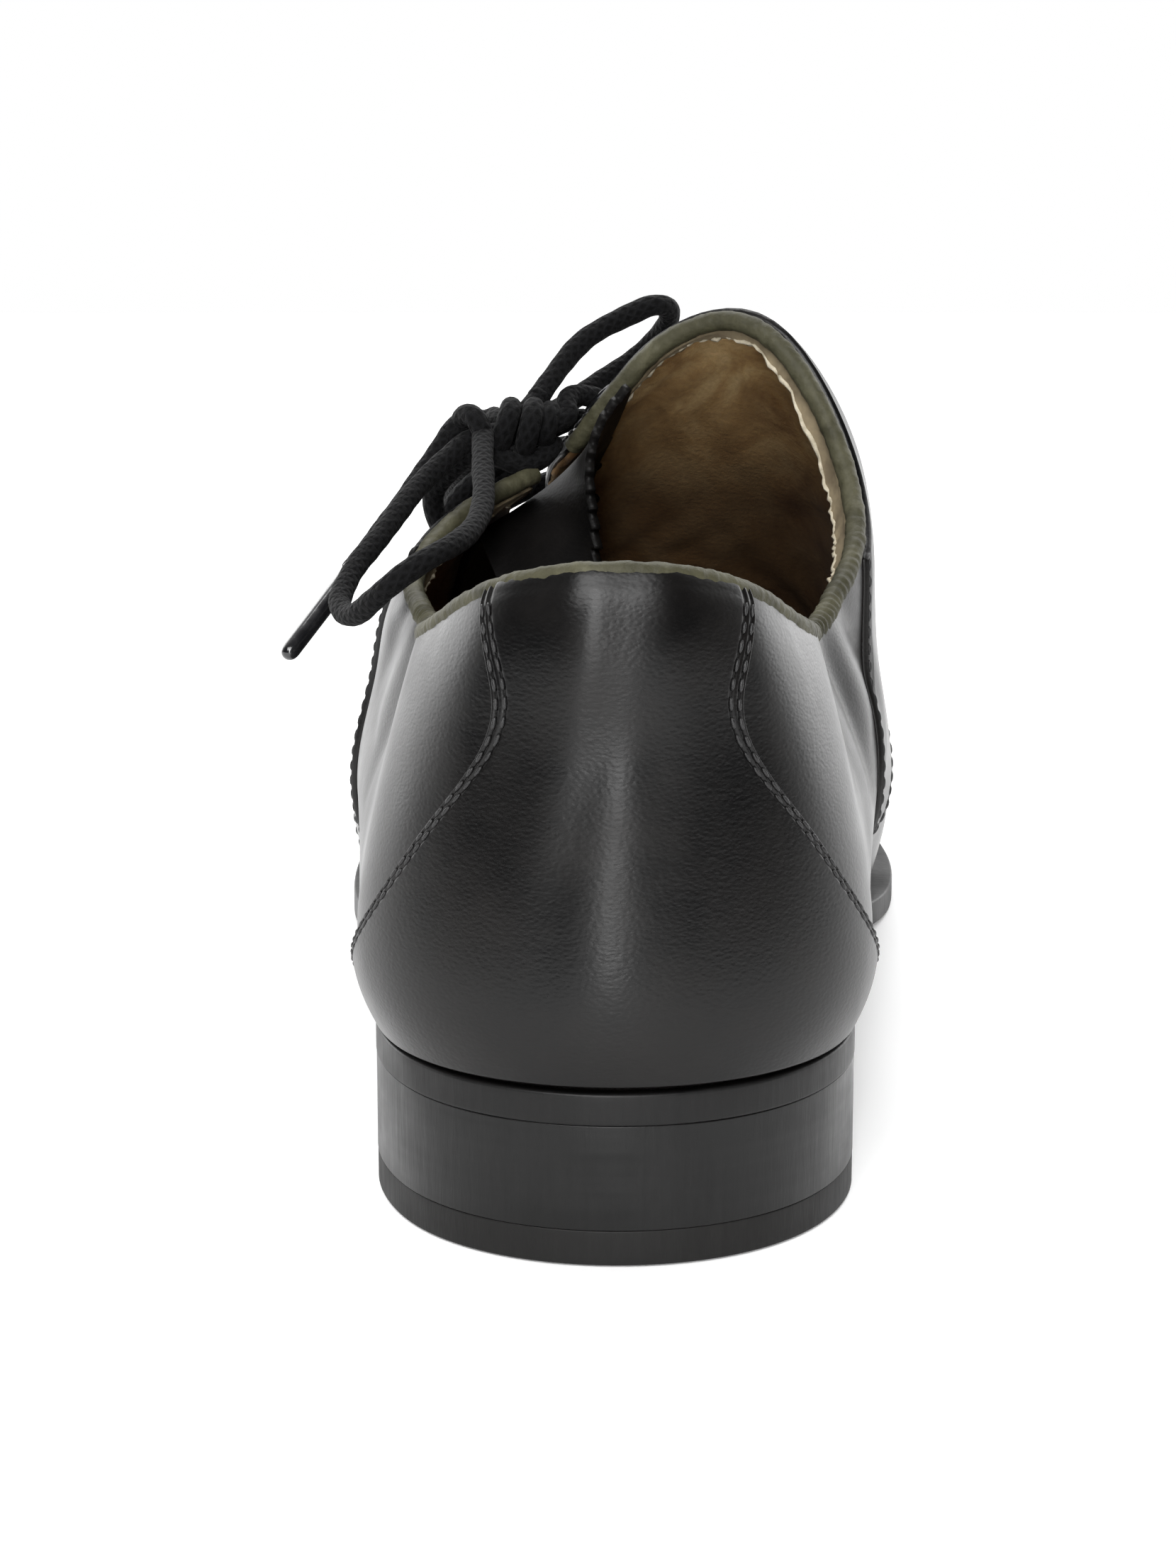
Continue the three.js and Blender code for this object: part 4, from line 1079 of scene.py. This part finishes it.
def make_upper():
    throat = float(column_of(THROAT_AT))
    open_columns = np.linspace(0, throat, OPEN_COLUMNS)
    columns = np.concatenate([open_columns, np.linspace(throat, 1, CLOSED_COLUMNS)[1:]])
    present = np.ones((len(columns) - 1, 2 * WALL_ROWS + VAMP_ROWS), bool)
    present[: OPEN_COLUMNS - 1, WALL_ROWS : WALL_ROWS + VAMP_ROWS] = False

    def wall(name, beyond, outer_lift, inner_lift, finish, slot_name):
        u, w = upper_grid(columns, WALL_ROWS, VAMP_ROWS, beyond)
        outer, inner = skin(u, w, outer_lift(u, w)), skin(u, w, inner_lift(u, w))
        mesh = wall_mesh(name, outer, inner, present, folded_back=True, folded_front=True)
        place(as_object(name, mesh), finish, slot_name, "upper")

    def lining_beyond(u, side):
        bound = bound_share(u, side)
        return bound * LINING_BEYOND + (1 - bound) * ragged(u, side, 0.4)

    wall(
        "upper_outer_leather",
        lambda u, side: OUTER_BEYOND * bound_share(u, side),
        lambda u, w: 0 * u,
        lambda u, w: 0 * u - LEATHER,
        UPPER_LEATHER,
        "black_leather",
    )
    wall(
        "upper_lining",
        lining_beyond,
        lambda u, w: 0 * u - LEATHER - LINING_GAP,
        slack_inside,
        LINING,
        "tan_lining",
    )


make_upper()


def round_the_back(left, right):
    """One grid of (u, w) from the left side's, turned about, and the right side's."""
    return (np.concatenate([a[:0:-1], b]) for a, b in zip(left, right))


# Overlays: the counter round the back and a panel on each side, cut edges rounded off.
STITCH_ROWS = (0.95, 2.35)
STITCH_CHANNEL = {"deep": 0.3, "wide": 0.38}
CUT_THIN, CUT_ROUND = 0.2, 0.5


def edge_round(away):
    return np.sqrt(np.clip(1 - (1 - np.clip(away / CUT_ROUND, 0, 1)) ** 2, 0, 1))


def overlay_mesh(name, u, w, sunk=0.0):
    """A leather overlay on the wall over a grid of places, thin at each cut edge."""
    flat = surface(u, w)
    along = np.linalg.norm(np.diff(flat, axis=0), axis=2)
    across = np.linalg.norm(np.diff(flat, axis=1), axis=2)
    pad_a, pad_b = np.zeros((1, flat.shape[1])), np.zeros((flat.shape[0], 1))
    far = [
        np.concatenate([pad_a, np.cumsum(along, 0)]),
        np.concatenate([np.cumsum(along[::-1], 0)[::-1], pad_a]),
        np.concatenate([pad_b, np.cumsum(across, 1)], 1),
        np.concatenate([np.cumsum(across[:, ::-1], 1)[:, ::-1], pad_b], 1),
    ]
    lift = CUT_THIN + (OVERLAY - CUT_THIN) * edge_round(np.min(far, axis=0)) - sunk
    beside = np.minimum(far[0], far[1])
    deep, wide = STITCH_CHANNEL["deep"], STITCH_CHANNEL["wide"]
    channel = sum(deep * np.exp(-(((beside - row) / wide) ** 2)) for row in STITCH_ROWS)
    return wall_mesh(name, skin(u, w, lift - channel), skin(u, w, 0 * u - 0.15 - sunk))


def spaced(count, edge=0.14, near=3):
    """Shares from 0 to 1, closer together at both ends."""
    middle = np.linspace(0, 1, count)
    ease = (1 - np.cos(np.pi * middle)) / 2
    return middle * (1 - edge * near) + ease * edge * near


# Shares of the wall's height, from the cut edge down, where a panel begins and where all overlays end.
PANEL_FROM, OVERLAY_TO = 0.004, 0.985
# The counter's top rolls over the binding's outside: how far above the cut edge, and how far in.
COUNTER_OVER = (2.5, 2.35, 2.1, 1.8, 1.4, 1.0, 0.5)
COUNTER_SUNK = (1.5, 1.1, 0.85, 0.65, 0.5, 0.42, 0.35)


def make_counter():
    downs = OVERLAY_TO * spaced(90)
    half = 1 - (1 - np.linspace(0, 1, 88) ** 0.85) ** 1.35
    front = column_of(COUNTER_EDGE["at"](downs))
    sides = []
    for side in (-1, 1):
        u = half[:, None] * front[None, :]
        w = down_the_wall(u, side, downs[None, :])
        over = half * float(front[0])
        above = np.stack([edge_beyond(over, side, reach) for reach in COUNTER_OVER], 1)
        rolled = np.broadcast_to(over[:, None], above.shape)
        sides.append((np.concatenate([rolled, u], 1), np.concatenate([above, w], 1)))
    u, w = round_the_back(*sides)
    sunk = np.concatenate([COUNTER_SUNK, 0.3 * np.exp(-downs * 60)])
    mesh = overlay_mesh("counter_leather", u, w, sunk[None, :])
    place(as_object("counter_leather", mesh), COUNTER_LEATHER, "black_leather", "heel_counter")


def panel_grid(side, table):
    """(u, w) over a quarter panel, from just under the topline to just above the sole."""
    downs = PANEL_FROM + (OVERLAY_TO - PANEL_FROM) * spaced(84)
    shares = spaced(110)
    back, front = column_of(table["back"](downs)), column_of(table["front"](downs))
    u = back + (front - back) * shares[:, None]
    w = down_the_wall(u, side, downs[None, :])
    return (u, w) if side > 0 else (u[:, ::-1], w[:, ::-1])


def make_panels():
    for side, table, name in ((1, MEDIAL_PANEL, "medial"), (-1, LATERAL_PANEL, "lateral")):
        u, w = panel_grid(side, table)
        own = "quarter_panel_leather_" + name
        panel = as_object(own, overlay_mesh(own, u, w))
        place(panel, PANEL_LEATHER, "black_leather", "quarter_panel_" + name)


make_counter()
make_panels()


# Stitches: rows beside each seam, in from the cut edge.
def inset_line(side, table, column, inset, downs, forward):
    """Places on the wall at a distance in front of or behind a panel's edge, at its rows."""
    u = column_of(table[column](downs))
    w = down_the_wall(u, side, downs)
    step = 1e-3
    pace = np.linalg.norm(surface(u + step, w) - surface(u - step, w), axis=-1) / (2 * step)
    u = u + forward * inset / pace
    return u, down_the_wall(u, side, downs)


FACING_FROM, FACING_TO = 0.425, 0.6


def make_stitches():
    tree = stitch_tree()
    lift = OVERLAY - 0.1
    lines = []
    downs = np.linspace(0.03, 0.955, 120)

    def sew(name, side, table, column, forward, rows):
        for k, inset in enumerate(rows):
            u, w = inset_line(side, table, column, inset, downs, forward)
            lines.append((name, side, k, skin(u, w, lift)))

    for side in (-1, 1):
        sew("counter", side, COUNTER_EDGE, "at", -1, STITCH_ROWS)
    for side, table in ((1, MEDIAL_PANEL), (-1, LATERAL_PANEL)):
        sew("back", side, table, "back", 1, STITCH_ROWS[:1])
        sew("front", side, table, "front", -1, STITCH_ROWS)
        eyelet_row = np.linspace(float(column_of(FACING_FROM)), float(column_of(FACING_TO)), 80)
        w = edge_beyond(eyelet_row, side, -2.2)
        lines.append(("facing", side, 0, skin(eyelet_row, w, lift)))
    for name, side, k, path in lines:
        label = f"stitches_{name}_{'medial' if side > 0 else 'lateral'}_{k + 1}"
        row = grow(line_object(label, path), tree, Seed=3 + k)
        place(row, THREAD, "black_leather")


make_stitches()


ROLL_ABOVE = 1.65
GATHERED_AT, GATHERED_REACH = 0.2, 0.065


def make_binding():
    """The topline's rolled strip, from the lateral facing round the heel to the medial one."""
    left = np.linspace(0, float(column_of(LATERAL_TIP)), 200)
    right = np.linspace(0, float(column_of(MEDIAL_TIP)), 240)
    u = np.concatenate([left[::-1], right[1:]])
    side = np.concatenate([np.full(len(left), -1), np.full(len(right) - 1, 1)])
    w = np.where(side > 0, EDGES[1](station_of(u)), EDGES[-1](station_of(u)))
    middle = skin(u, w, 0 * u - WALL / 2, 0.6)
    run_on = np.gradient(middle, axis=0)
    run_on /= np.linalg.norm(run_on, axis=1)[:, None]
    up = -np.cross(run_on, outward(u, w))
    up /= np.linalg.norm(up, axis=1)[:, None]
    path = middle + up * ROLL_ABOVE
    for _ in range(6):
        path[1:-1] = (path[:-2] + path[1:-1] * 2 + path[2:]) / 4
    gather = 0.06 + 0.94 * np.exp(-(((station_of(u) - GATHERED_AT) / GATHERED_REACH) ** 2))
    thing = line_object("topline_binding_roll", path)
    vertex_values(thing.data, "gather", np.clip(gather, 0, 1))
    grow(thing, binding_tree(), Radius=BINDING / 2 * METRE)
    place(thing, BINDING_LEATHER, "olive_binding", "topline_binding")


make_binding()


# How far above the cut edge the turned-in strip begins, and how far below it ends, in millimetres.
TURNED_FROM, TURNED_IN = 0.9, 3.6


def make_turning():
    """The binding's other edge, turned down inside over the lining, flesh side out and cut unevenly."""
    down = np.linspace(0, 1, 9)
    parts = []
    for side, tip, count in ((-1, LATERAL_TIP, 330), (1, MEDIAL_TIP, 400)):
        u = np.linspace(0, float(column_of(tip - 0.004)), count)[:, None]
        s = u * 1000 + side * 7
        depth = TURNED_IN + 0.3 * np.sin(s * 0.13)
        depth = depth + 0.22 * np.sin(s * 0.37 + 1) + 0.16 * np.sin(s * 0.93 + 2)
        depth = depth + 0.8 * np.exp(-(((station_of(u) - 0.36) / 0.03) ** 2))
        reach = TURNED_FROM - (TURNED_FROM + depth) * down[None, :]
        w = np.stack([edge_beyond(u[:, 0], side, reach[:, k]) for k in range(len(down))], 1)
        parts.append((np.broadcast_to(u, w.shape), w))
    u, w = round_the_back(*parts)
    standing = np.clip((0.4 - station_of(u)) / 0.05, 0.12, 1) * np.where(w > 0, 2.3, 1.3)
    away = standing * down**1.3 + (0.2 * np.sin(u * 700) + 0.16 * np.sin(u * 1900 + 1)) * down**3
    outer = skin(u, w, -WALL - 0.05 - away)
    inner = skin(u, w, -WALL - 0.7 - away)
    thing = as_object("binding_turning", wall_mesh("binding_turning", outer, inner))
    place(thing, TURNING_SUEDE, "olive_binding")
    cut = (outer[:, -1] + inner[:, -1]) / 2
    along = np.arange(len(cut))[:, None]
    turn = np.linspace(0, 2 * np.pi, 9)[:-1]
    thick = 0.38 + 0.12 * np.sin(along * 1.7 + turn) + 0.1 * np.sin(along * 0.63 - 2 * turn)
    edge = as_object("binding_cut_edge", tube_mesh("binding_cut_edge", cut, thick, 8))
    place(edge, CUT_EDGE, "olive_binding")


make_turning()


# The tongue lies under the facings and bends over behind them to a pinked edge.
# Its sides across the shoe, at the front and, narrower, at the bend.
TONGUE_SIDES = (-0.4, -0.135)
TONGUE_NARROW = (-0.3, -0.172)
TONGUE_FRONT_AT, TONGUE_BEND_AT = 0.65, 0.43
TONGUE_UNDER = 0.9
PINK_LEFT, PINK_RIGHT, PINK_DEEP = 4.0, 2.8, 0.055


def tongue_middle(s, t):
    """A place halfway through the tongue: s from 0 to 1 under the facings and on to 2 beyond the bend."""
    held_share = np.clip(s, 0, 1)
    left, right = (
        wide + (narrow - wide) * held_share**3 for wide, narrow in zip(TONGUE_SIDES, TONGUE_NARROW)
    )
    w = left + (right - left) * t
    under = -(WALL + TONGUE_UNDER + TONGUE / 2) + 0 * w
    along = column_of(TONGUE_FRONT_AT + (TONGUE_BEND_AT - TONGUE_FRONT_AT) * held_share)
    held = skin(along, w, under, 0)
    leave = skin(column_of(TONGUE_BEND_AT + 0 * w), w, under, 0)
    ahead = skin(column_of(TONGUE_BEND_AT - 0.03 + 0 * w), w, under, 0)
    free = np.stack([TONGUE_END[k](t) for k in "xyz"], -1)
    share = np.clip(s - 1, 0, None)[..., None]
    bent = leave * (1 - share) ** 2 + ahead * 2 * share * (1 - share) + free * share**2
    return np.where((s <= 1)[..., None], held, bent)


def make_tongue():
    """The tongue's edge is pinked: its teeth are closer together on the inner side."""
    t = np.linspace(0, 1, 150)
    edge = np.stack([TONGUE_END[k](t) for k in "xyz"], -1)
    along = length_along(edge)
    pitch = PINK_LEFT + (PINK_RIGHT - PINK_LEFT) * t
    teeth = np.concatenate([[0], np.cumsum(np.diff(along) / pitch[1:])])
    reach = 1 - PINK_DEEP * np.abs((teeth % 1) * 2 - 1)
    s = np.concatenate([np.linspace(0, 1, 40), np.linspace(1, 2, 60)[1:]])
    s, t = np.broadcast_arrays(s[:, None], t[None, :])
    s = np.where(s > 1, 1 + (s - 1) * reach[None, :], s)
    step = 1e-3
    middle = tongue_middle(s, t)
    run = tongue_middle(np.maximum(s - step, 0), t) - tongue_middle(s + step, t)
    side = tongue_middle(s, t + step) - tongue_middle(s, t - step)
    normal = np.cross(side, run)
    normal /= np.linalg.norm(normal, axis=-1, keepdims=True)
    ripple = 0.35 * np.sin(t * 9 + s * 2) * np.clip(s - 1, 0, 1)
    outer = middle + normal * (0.9 + ripple)[..., None]
    inner = middle + normal * (ripple - 0.6)[..., None]
    mesh = wall_mesh("tongue_leather", outer[::-1], inner[::-1])
    place(as_object("tongue_leather", mesh), TONGUE_LEATHER, "black_leather", "tongue")


make_tongue()


EYELETS = {"first": 0.445, "step": 0.04, "count": 4, "medial": -0.15, "lateral": -0.335, "spread": 0.006}


def eyelet_place(pair, side):
    """Column and across value of an eyelet, pairs counted from the top."""
    across = EYELETS["medial"] if side > 0 else EYELETS["lateral"]
    column = float(column_of(EYELETS["first"] + pair * EYELETS["step"]))
    return column, across + side * pair * EYELETS["spread"]


def make_eyelets():
    spots, facing, names = [], [], []
    for pair in range(EYELETS["count"]):
        for side in (-1, 1):
            u, w = eyelet_place(pair, side)
            spots.append(skin(u, w, OVERLAY + 0.1))
            facing.append(outward(u, w))
            names.append(f"eyelet_{'medial' if side > 0 else 'lateral'}_{pair + 1}")
    mesh = bpy.data.meshes.new("eyelet_rings")
    mesh.from_pydata(in_metres(spots).tolist(), [], [])
    vertex_values(mesh, "facing", facing, vectors=True)
    thing = grow(as_object("eyelet_rings", mesh, False), eyelet_tree())
    place(thing, EYELET_METAL, "eyelet_metal", *names)


make_eyelets()


def joined(name, meshes):
    """One object of several meshes."""
    shape = bmesh.new()
    for mesh in meshes:
        shape.from_mesh(mesh)
    whole = bpy.data.meshes.new(name)
    shape.to_mesh(whole)
    shape.free()
    for mesh in meshes:
        bpy.data.meshes.remove(mesh)
    return as_object(name, whole)


# A lace bar from one eyelet to its partner: share of the way across, and height over the leather.
BAR_RISES = [(0.0, -2.4), (0.0, -0.4), (0.015, 1.7), (0.14, 3.9), (0.35, 4.6), (0.5, 4.7)]
BAR_RISES += [(1 - share, lift) for share, lift in BAR_RISES[-2::-1]]


def make_lacing():
    """The lace's held part: it rises from each eyelet and crosses the gap to its partner."""
    meshes = []
    for pair in range(1, EYELETS["count"]):
        u, left = eyelet_place(pair, -1)
        _, right = eyelet_place(pair, 1)
        path = [skin(u, left + (right - left) * share, lift, 0) for share, lift in BAR_RISES]
        meshes.append(tube_mesh("bar", curve_through(path), LACE / 2, LACE_SIDES))
    for name, side in (("rise_lateral", -1), ("rise_medial", 1)):
        u, w = eyelet_place(0, side)
        path = [skin(u, w, -1.5), skin(u, w, 0.8)] + RUNS[name][1:]
        meshes.append(tube_mesh("rise", curve_through(path), LACE / 2, LACE_SIDES))
    names = ["lace_bar_2", "lace_bar_3", "lace_bar_4", "lace_rise_medial", "lace_rise_lateral"]
    place(joined("lacing", meshes), CORD, "black_cord", *names)


# The knot: turns of lace round the crossing runs (middle, half depth, half height, lean), each run's way
# in, and what lies under and behind the turns.
KNOT_TURNS = [
    ((-17.6, 120.9, 99.7), 3.5, 3.2, 1.0),
    ((-13.7, 121.4, 99.3), 3.7, 3.5, 0.8),
    ((-10.7, 122.6, 99.9), 2.5, 2.2, 0.5),
]
KNOT_STRANDS = {
    "loop_lateral start": [
        (-22.0, 117.0, 101.1), (-23.7, 119.0, 102.0), (-24.7, 121.4, 100.2), (-22.0, 122, 98),
    ],
    "loop_lateral end": [(-22.2, 119.4, 98.2), (-18, 121, 98.8)],
    "loop_medial start": [(-14.2, 122.4, 101.8), (-15, 121.5, 100)],
    "loop_medial end": [(-14, 124.3, 99), (-15, 121.5, 99)],
    "end_lateral start": [(-24.4, 121.6, 100.6), (-21, 121.8, 100.6)],
    "end_forward start": [(-18.6, 123.4, 100.4), (-17, 121, 99.6)],
    "rise_medial end": [(-9.8, 121.6, 100.2), (-13, 121.4, 99.8)],
    "rise_lateral end": [(-20, 122.6, 96.6), (-17, 121.4, 98.2)],
}
KNOT_UNDER = [
    (-21.6, 121.5, 97), (-19.4, 118.8, 95.6), (-15.6, 118.6, 94), (-11.8, 120.4, 94.6), (-9.6, 123.4, 97),
]
KNOT_BEHIND = [(-21.8, 124, 99.4), (-18, 125.2, 98.4), (-13, 125.4, 98.6), (-9.4, 124.6, 100.2)]
# A strand begins this far inside its run's tube, a little thinner than it, in steps this long.
STRAND_INSIDE, STRAND_THIN, STRAND_STEP = 1.2, 0.985, 0.6


def make_knot():
    meshes = []
    turn = np.linspace(0, 2 * np.pi, 44)
    for middle, deep, high, lean in KNOT_TURNS:
        ring = np.stack([lean * np.sin(turn), deep * np.cos(turn), high * np.sin(turn)], 1)
        meshes.append(tube_mesh("turn", np.array(middle) + ring, LACE / 2, LACE_SIDES, caps=False))
    for label, inner in KNOT_STRANDS.items():
        name, which = label.split()
        points = np.array(RUNS[name], float)
        edge, beyond = (points[0], points[1]) if which == "start" else (points[-1], points[-2])
        outer = edge + (beyond - edge) / np.linalg.norm(beyond - edge) * STRAND_INSIDE
        path = curve_through([outer, edge, *inner], STRAND_STEP)
        meshes.append(tube_mesh("strand", path, LACE / 2 * STRAND_THIN, LACE_SIDES))
    for path in (KNOT_UNDER, KNOT_BEHIND):
        meshes.append(tube_mesh("under", curve_through(path, STRAND_STEP), LACE / 2, LACE_SIDES))
    place(joined("lace_knot_turns", meshes), CORD, "black_cord", "lace_knot")


make_lacing()
make_knot()


# Sole and heel.
def outline_at(u, side, margin):
    """The foot's outline on one side, moved out by a margin, as (x, y)."""
    tiny = 1e-4
    here = surface(u, np.full_like(u, side))
    low, high = np.where(u < 0.5, u, u - tiny), np.where(u < 0.5, u + tiny, u)
    run = surface(high, np.full_like(u, side)) - surface(low, np.full_like(u, side))
    run[:, 1] = np.where((u == 0) | (u == 1), 0, run[:, 1])
    long = np.hypot(run[:, 0], run[:, 1])
    x = here[:, 0] + side * run[:, 1] * margin / long
    y = here[:, 1] - side * run[:, 0] * margin / long
    return np.stack([x, y], 1)


SOLE_MARGIN = smooth((0, 0.2, 0.4, 0.6, 1), (1, 1, 0.9, 3.6, 3.6))


def slab_mesh(name, us, levels, top, bottom, bow=0.0):
    """A flat piece with the foot's outline. Levels are (share of the height from the top, inset in
    millimetres): in from the sole's own margin or, where it is negative, in from the foot. Bow is how far
    the front edge runs back in its middle."""
    count, n = len(us), 15
    shares = (1 - np.cos(np.pi * np.linspace(0, 1, n))) / 2
    points = np.zeros((count, n, len(levels), 3))
    for j, (fall, inset) in enumerate(levels):
        margin = SOLE_MARGIN(station_of(us)) - inset if inset >= 0 else inset + 0 * us
        left, right = outline_at(us, -1, margin), outline_at(us, 1, margin)
        plan = left[:, None] + (right - left)[:, None] * shares[None, :, None]
        plan[..., 1] -= bow * (1 - (2 * shares[None, :] - 1) ** 2) * (us[:, None] / us[-1]) ** 4
        points[:, :, j, :2] = plan
        points[:, :, j, 2] = top(plan[..., 1]) * (1 - fall) + bottom(plan[..., 1]) * fall
    index = np.arange(count * n * len(levels)).reshape(count, n, len(levels))
    faces = []
    for block, flip in (
        (index[:, :, 0], True),
        (index[:, :, -1], False),
        (index[:, 0, :], False),
        (index[:, -1, :], True),
        (index[-1, :, :], False),
    ):
        corners = np.stack([block[:-1, :-1], block[1:, :-1], block[1:, 1:], block[:-1, 1:]], -1)
        corners = corners.reshape(-1, 4)
        faces += (corners[:, ::-1] if flip else corners).tolist()
    mesh = merged_mesh(name, points.reshape(-1, 3), faces)
    shape = bmesh.new()
    shape.from_mesh(mesh)
    bmesh.ops.recalc_face_normals(shape, faces=shape.faces)
    shape.to_mesh(mesh)
    shape.free()
    return mesh


def round_levels(inset, radius_share, above, below):
    """Levels whose upper and lower edges are rounded in by so much, over a share of the height each."""
    def rounded(share, by):
        return inset + by * (1 - math.sqrt(1 - (1 - share) ** 2))

    steps = (0.0, 0.3, 0.65, 1.0)
    levels = [(radius_share * share, rounded(share, above)) for share in steps]
    levels += [(share, inset) for share in (0.3, 0.5, 0.7)]
    return levels + [(1 - radius_share * share, rounded(share, below)) for share in steps[::-1]]


def make_soles():
    whole = np.linspace(0, 1, 190)
    heel = np.linspace(0, float(column_of((HEEL_LENGTH + BACK_LEAN) / SHOE_LENGTH)), 90)

    def slab(name, us, levels, top, bottom, finish, slot_name, node, bow=0.0):
        piece = as_object(name, slab_mesh(name, us, levels, top, bottom, bow))
        place(piece, finish, slot_name, node)

    slab(
        "outsole_leather",
        whole,
        round_levels(0, 0.1, 0.4, 0.14),
        sole_top,
        ground,
        SOLE_EDGE,
        "sole_leather",
        "outsole",
    )
    slab(
        "heel_stack_leather",
        heel,
        round_levels(0.08, 0.01, 0.08, 0.15),
        lambda y: ground(y) - 0.05,
        lambda y: 0 * y + TOP_PIECE + 0.05,
        HEEL_EDGE,
        "heel_leather",
        "heel_stack",
        BREAST_SAG,
    )
    slab(
        "heel_top_piece_rubber",
        heel,
        round_levels(0.12, 0.06, 0.12, 0.4),
        lambda y: 0 * y + TOP_PIECE,
        lambda y: 0 * y,
        TOP_PIECE_RUBBER,
        "top_piece_rubber",
        "heel_top_piece",
        BREAST_SAG,
    )
    slab(
        "insole_board",
        whole,
        [(0.0, -3.0), (0.2, -2.6), (1.0, -2.5)],
        lambda y: sole_top(y) + FIT + INSOLE,
        lambda y: sole_top(y) + 0.05,
        INSOLE_LEATHER,
        "tan_lining",
        "insole",
    )


make_soles()


# The room: a pale floor under a world that is dark behind the shoe and pale ahead of it. Soft panels ahead
# light both flanks and the top, and smaller ones behind reach into the collar and down the back.
LIGHTS = [
    ("left_panel", (-0.8, 0.95, 0.45), (0, 0.1, 0.05), (0.9, 0.9), 6),
    ("right_panel", (0.8, 0.95, 0.45), (0, 0.1, 0.05), (0.9, 0.9), 6),
    ("top_panel", (0.0, 0.8, 1.2), (0, 0.2, 0), (0.8, 0.8), 12),
    ("collar_panel", (-0.15, -0.6, 0.7), (0.02, 0.1, 0.09), (0.7, 0.5), 8),
    ("back_strip", (-0.05, -1.1, 0.4), (0, 0, 0.06), (0.1, 0.9), 7),
]
FLOOR_REACH, FLOOR_AHEAD, FLOOR_UNDER = 30, 1.4, -0.0002
# Grey of the world by how far it lies ahead, from 0 behind to 1 ahead.
WORLD_GREYS = ((0.38, 0.02), (0.85, 1.0))


def aimed_panel(name, where, at, size, power):
    light = bpy.data.lights.new(name, "AREA")
    light.shape = "RECTANGLE"
    light.size, light.size_y = size
    light.energy = power
    lamp = bpy.data.objects.new(name, light)
    lamp.location = where
    aim = np.array(at, float) - np.array(where)
    down = math.atan2(math.hypot(aim[0], aim[1]), -aim[2])
    lamp.rotation_euler = (down, 0, math.atan2(-aim[0], aim[1]))
    bpy.context.scene.collection.objects.link(lamp)


def make_room():
    far, ahead, under = FLOOR_REACH, FLOOR_AHEAD, FLOOR_UNDER
    corners = [(-far, -far, under), (far, -far, under), (far, ahead, under), (-far, ahead, under)]
    floor = bpy.data.meshes.new("floor")
    floor.from_pydata(corners, [], [(0, 1, 2, 3)])
    paper = Finish("pale floor", (0.9, 0.9, 0.9), 0.9, Specular_IOR_Level=0.0, Emission_Strength=0.2)
    paper.shader.inputs["Emission Color"].default_value = (1, 1, 1, 1)
    floor.materials.append(paper.material)
    as_object("floor", floor, False)
    world = bpy.data.worlds.new("studio")
    bpy.context.scene.world = world
    world.use_nodes = True
    nodes, links = world.node_tree.nodes, world.node_tree.links
    facing = nodes.new("ShaderNodeTexCoord")
    split = nodes.new("ShaderNodeSeparateXYZ")
    depth = nodes.new("ShaderNodeMapRange")
    depth.inputs["From Min"].default_value = -1
    ramp = nodes.new("ShaderNodeValToRGB")
    links.new(facing.outputs["Generated"], split.inputs[0])
    links.new(split.outputs["Y"], depth.inputs["Value"])
    links.new(depth.outputs["Result"], ramp.inputs["Fac"])
    ramp.color_ramp.interpolation = "EASE"
    for element, (position, grey) in zip(ramp.color_ramp.elements, WORLD_GREYS):
        element.position = position
        element.color = (grey, grey, grey, 1)
    links.new(ramp.outputs["Color"], nodes["Background"].inputs["Color"])
    for light in LIGHTS:
        aimed_panel(*light)
    bpy.context.scene.view_settings.view_transform = "Standard"


make_room()
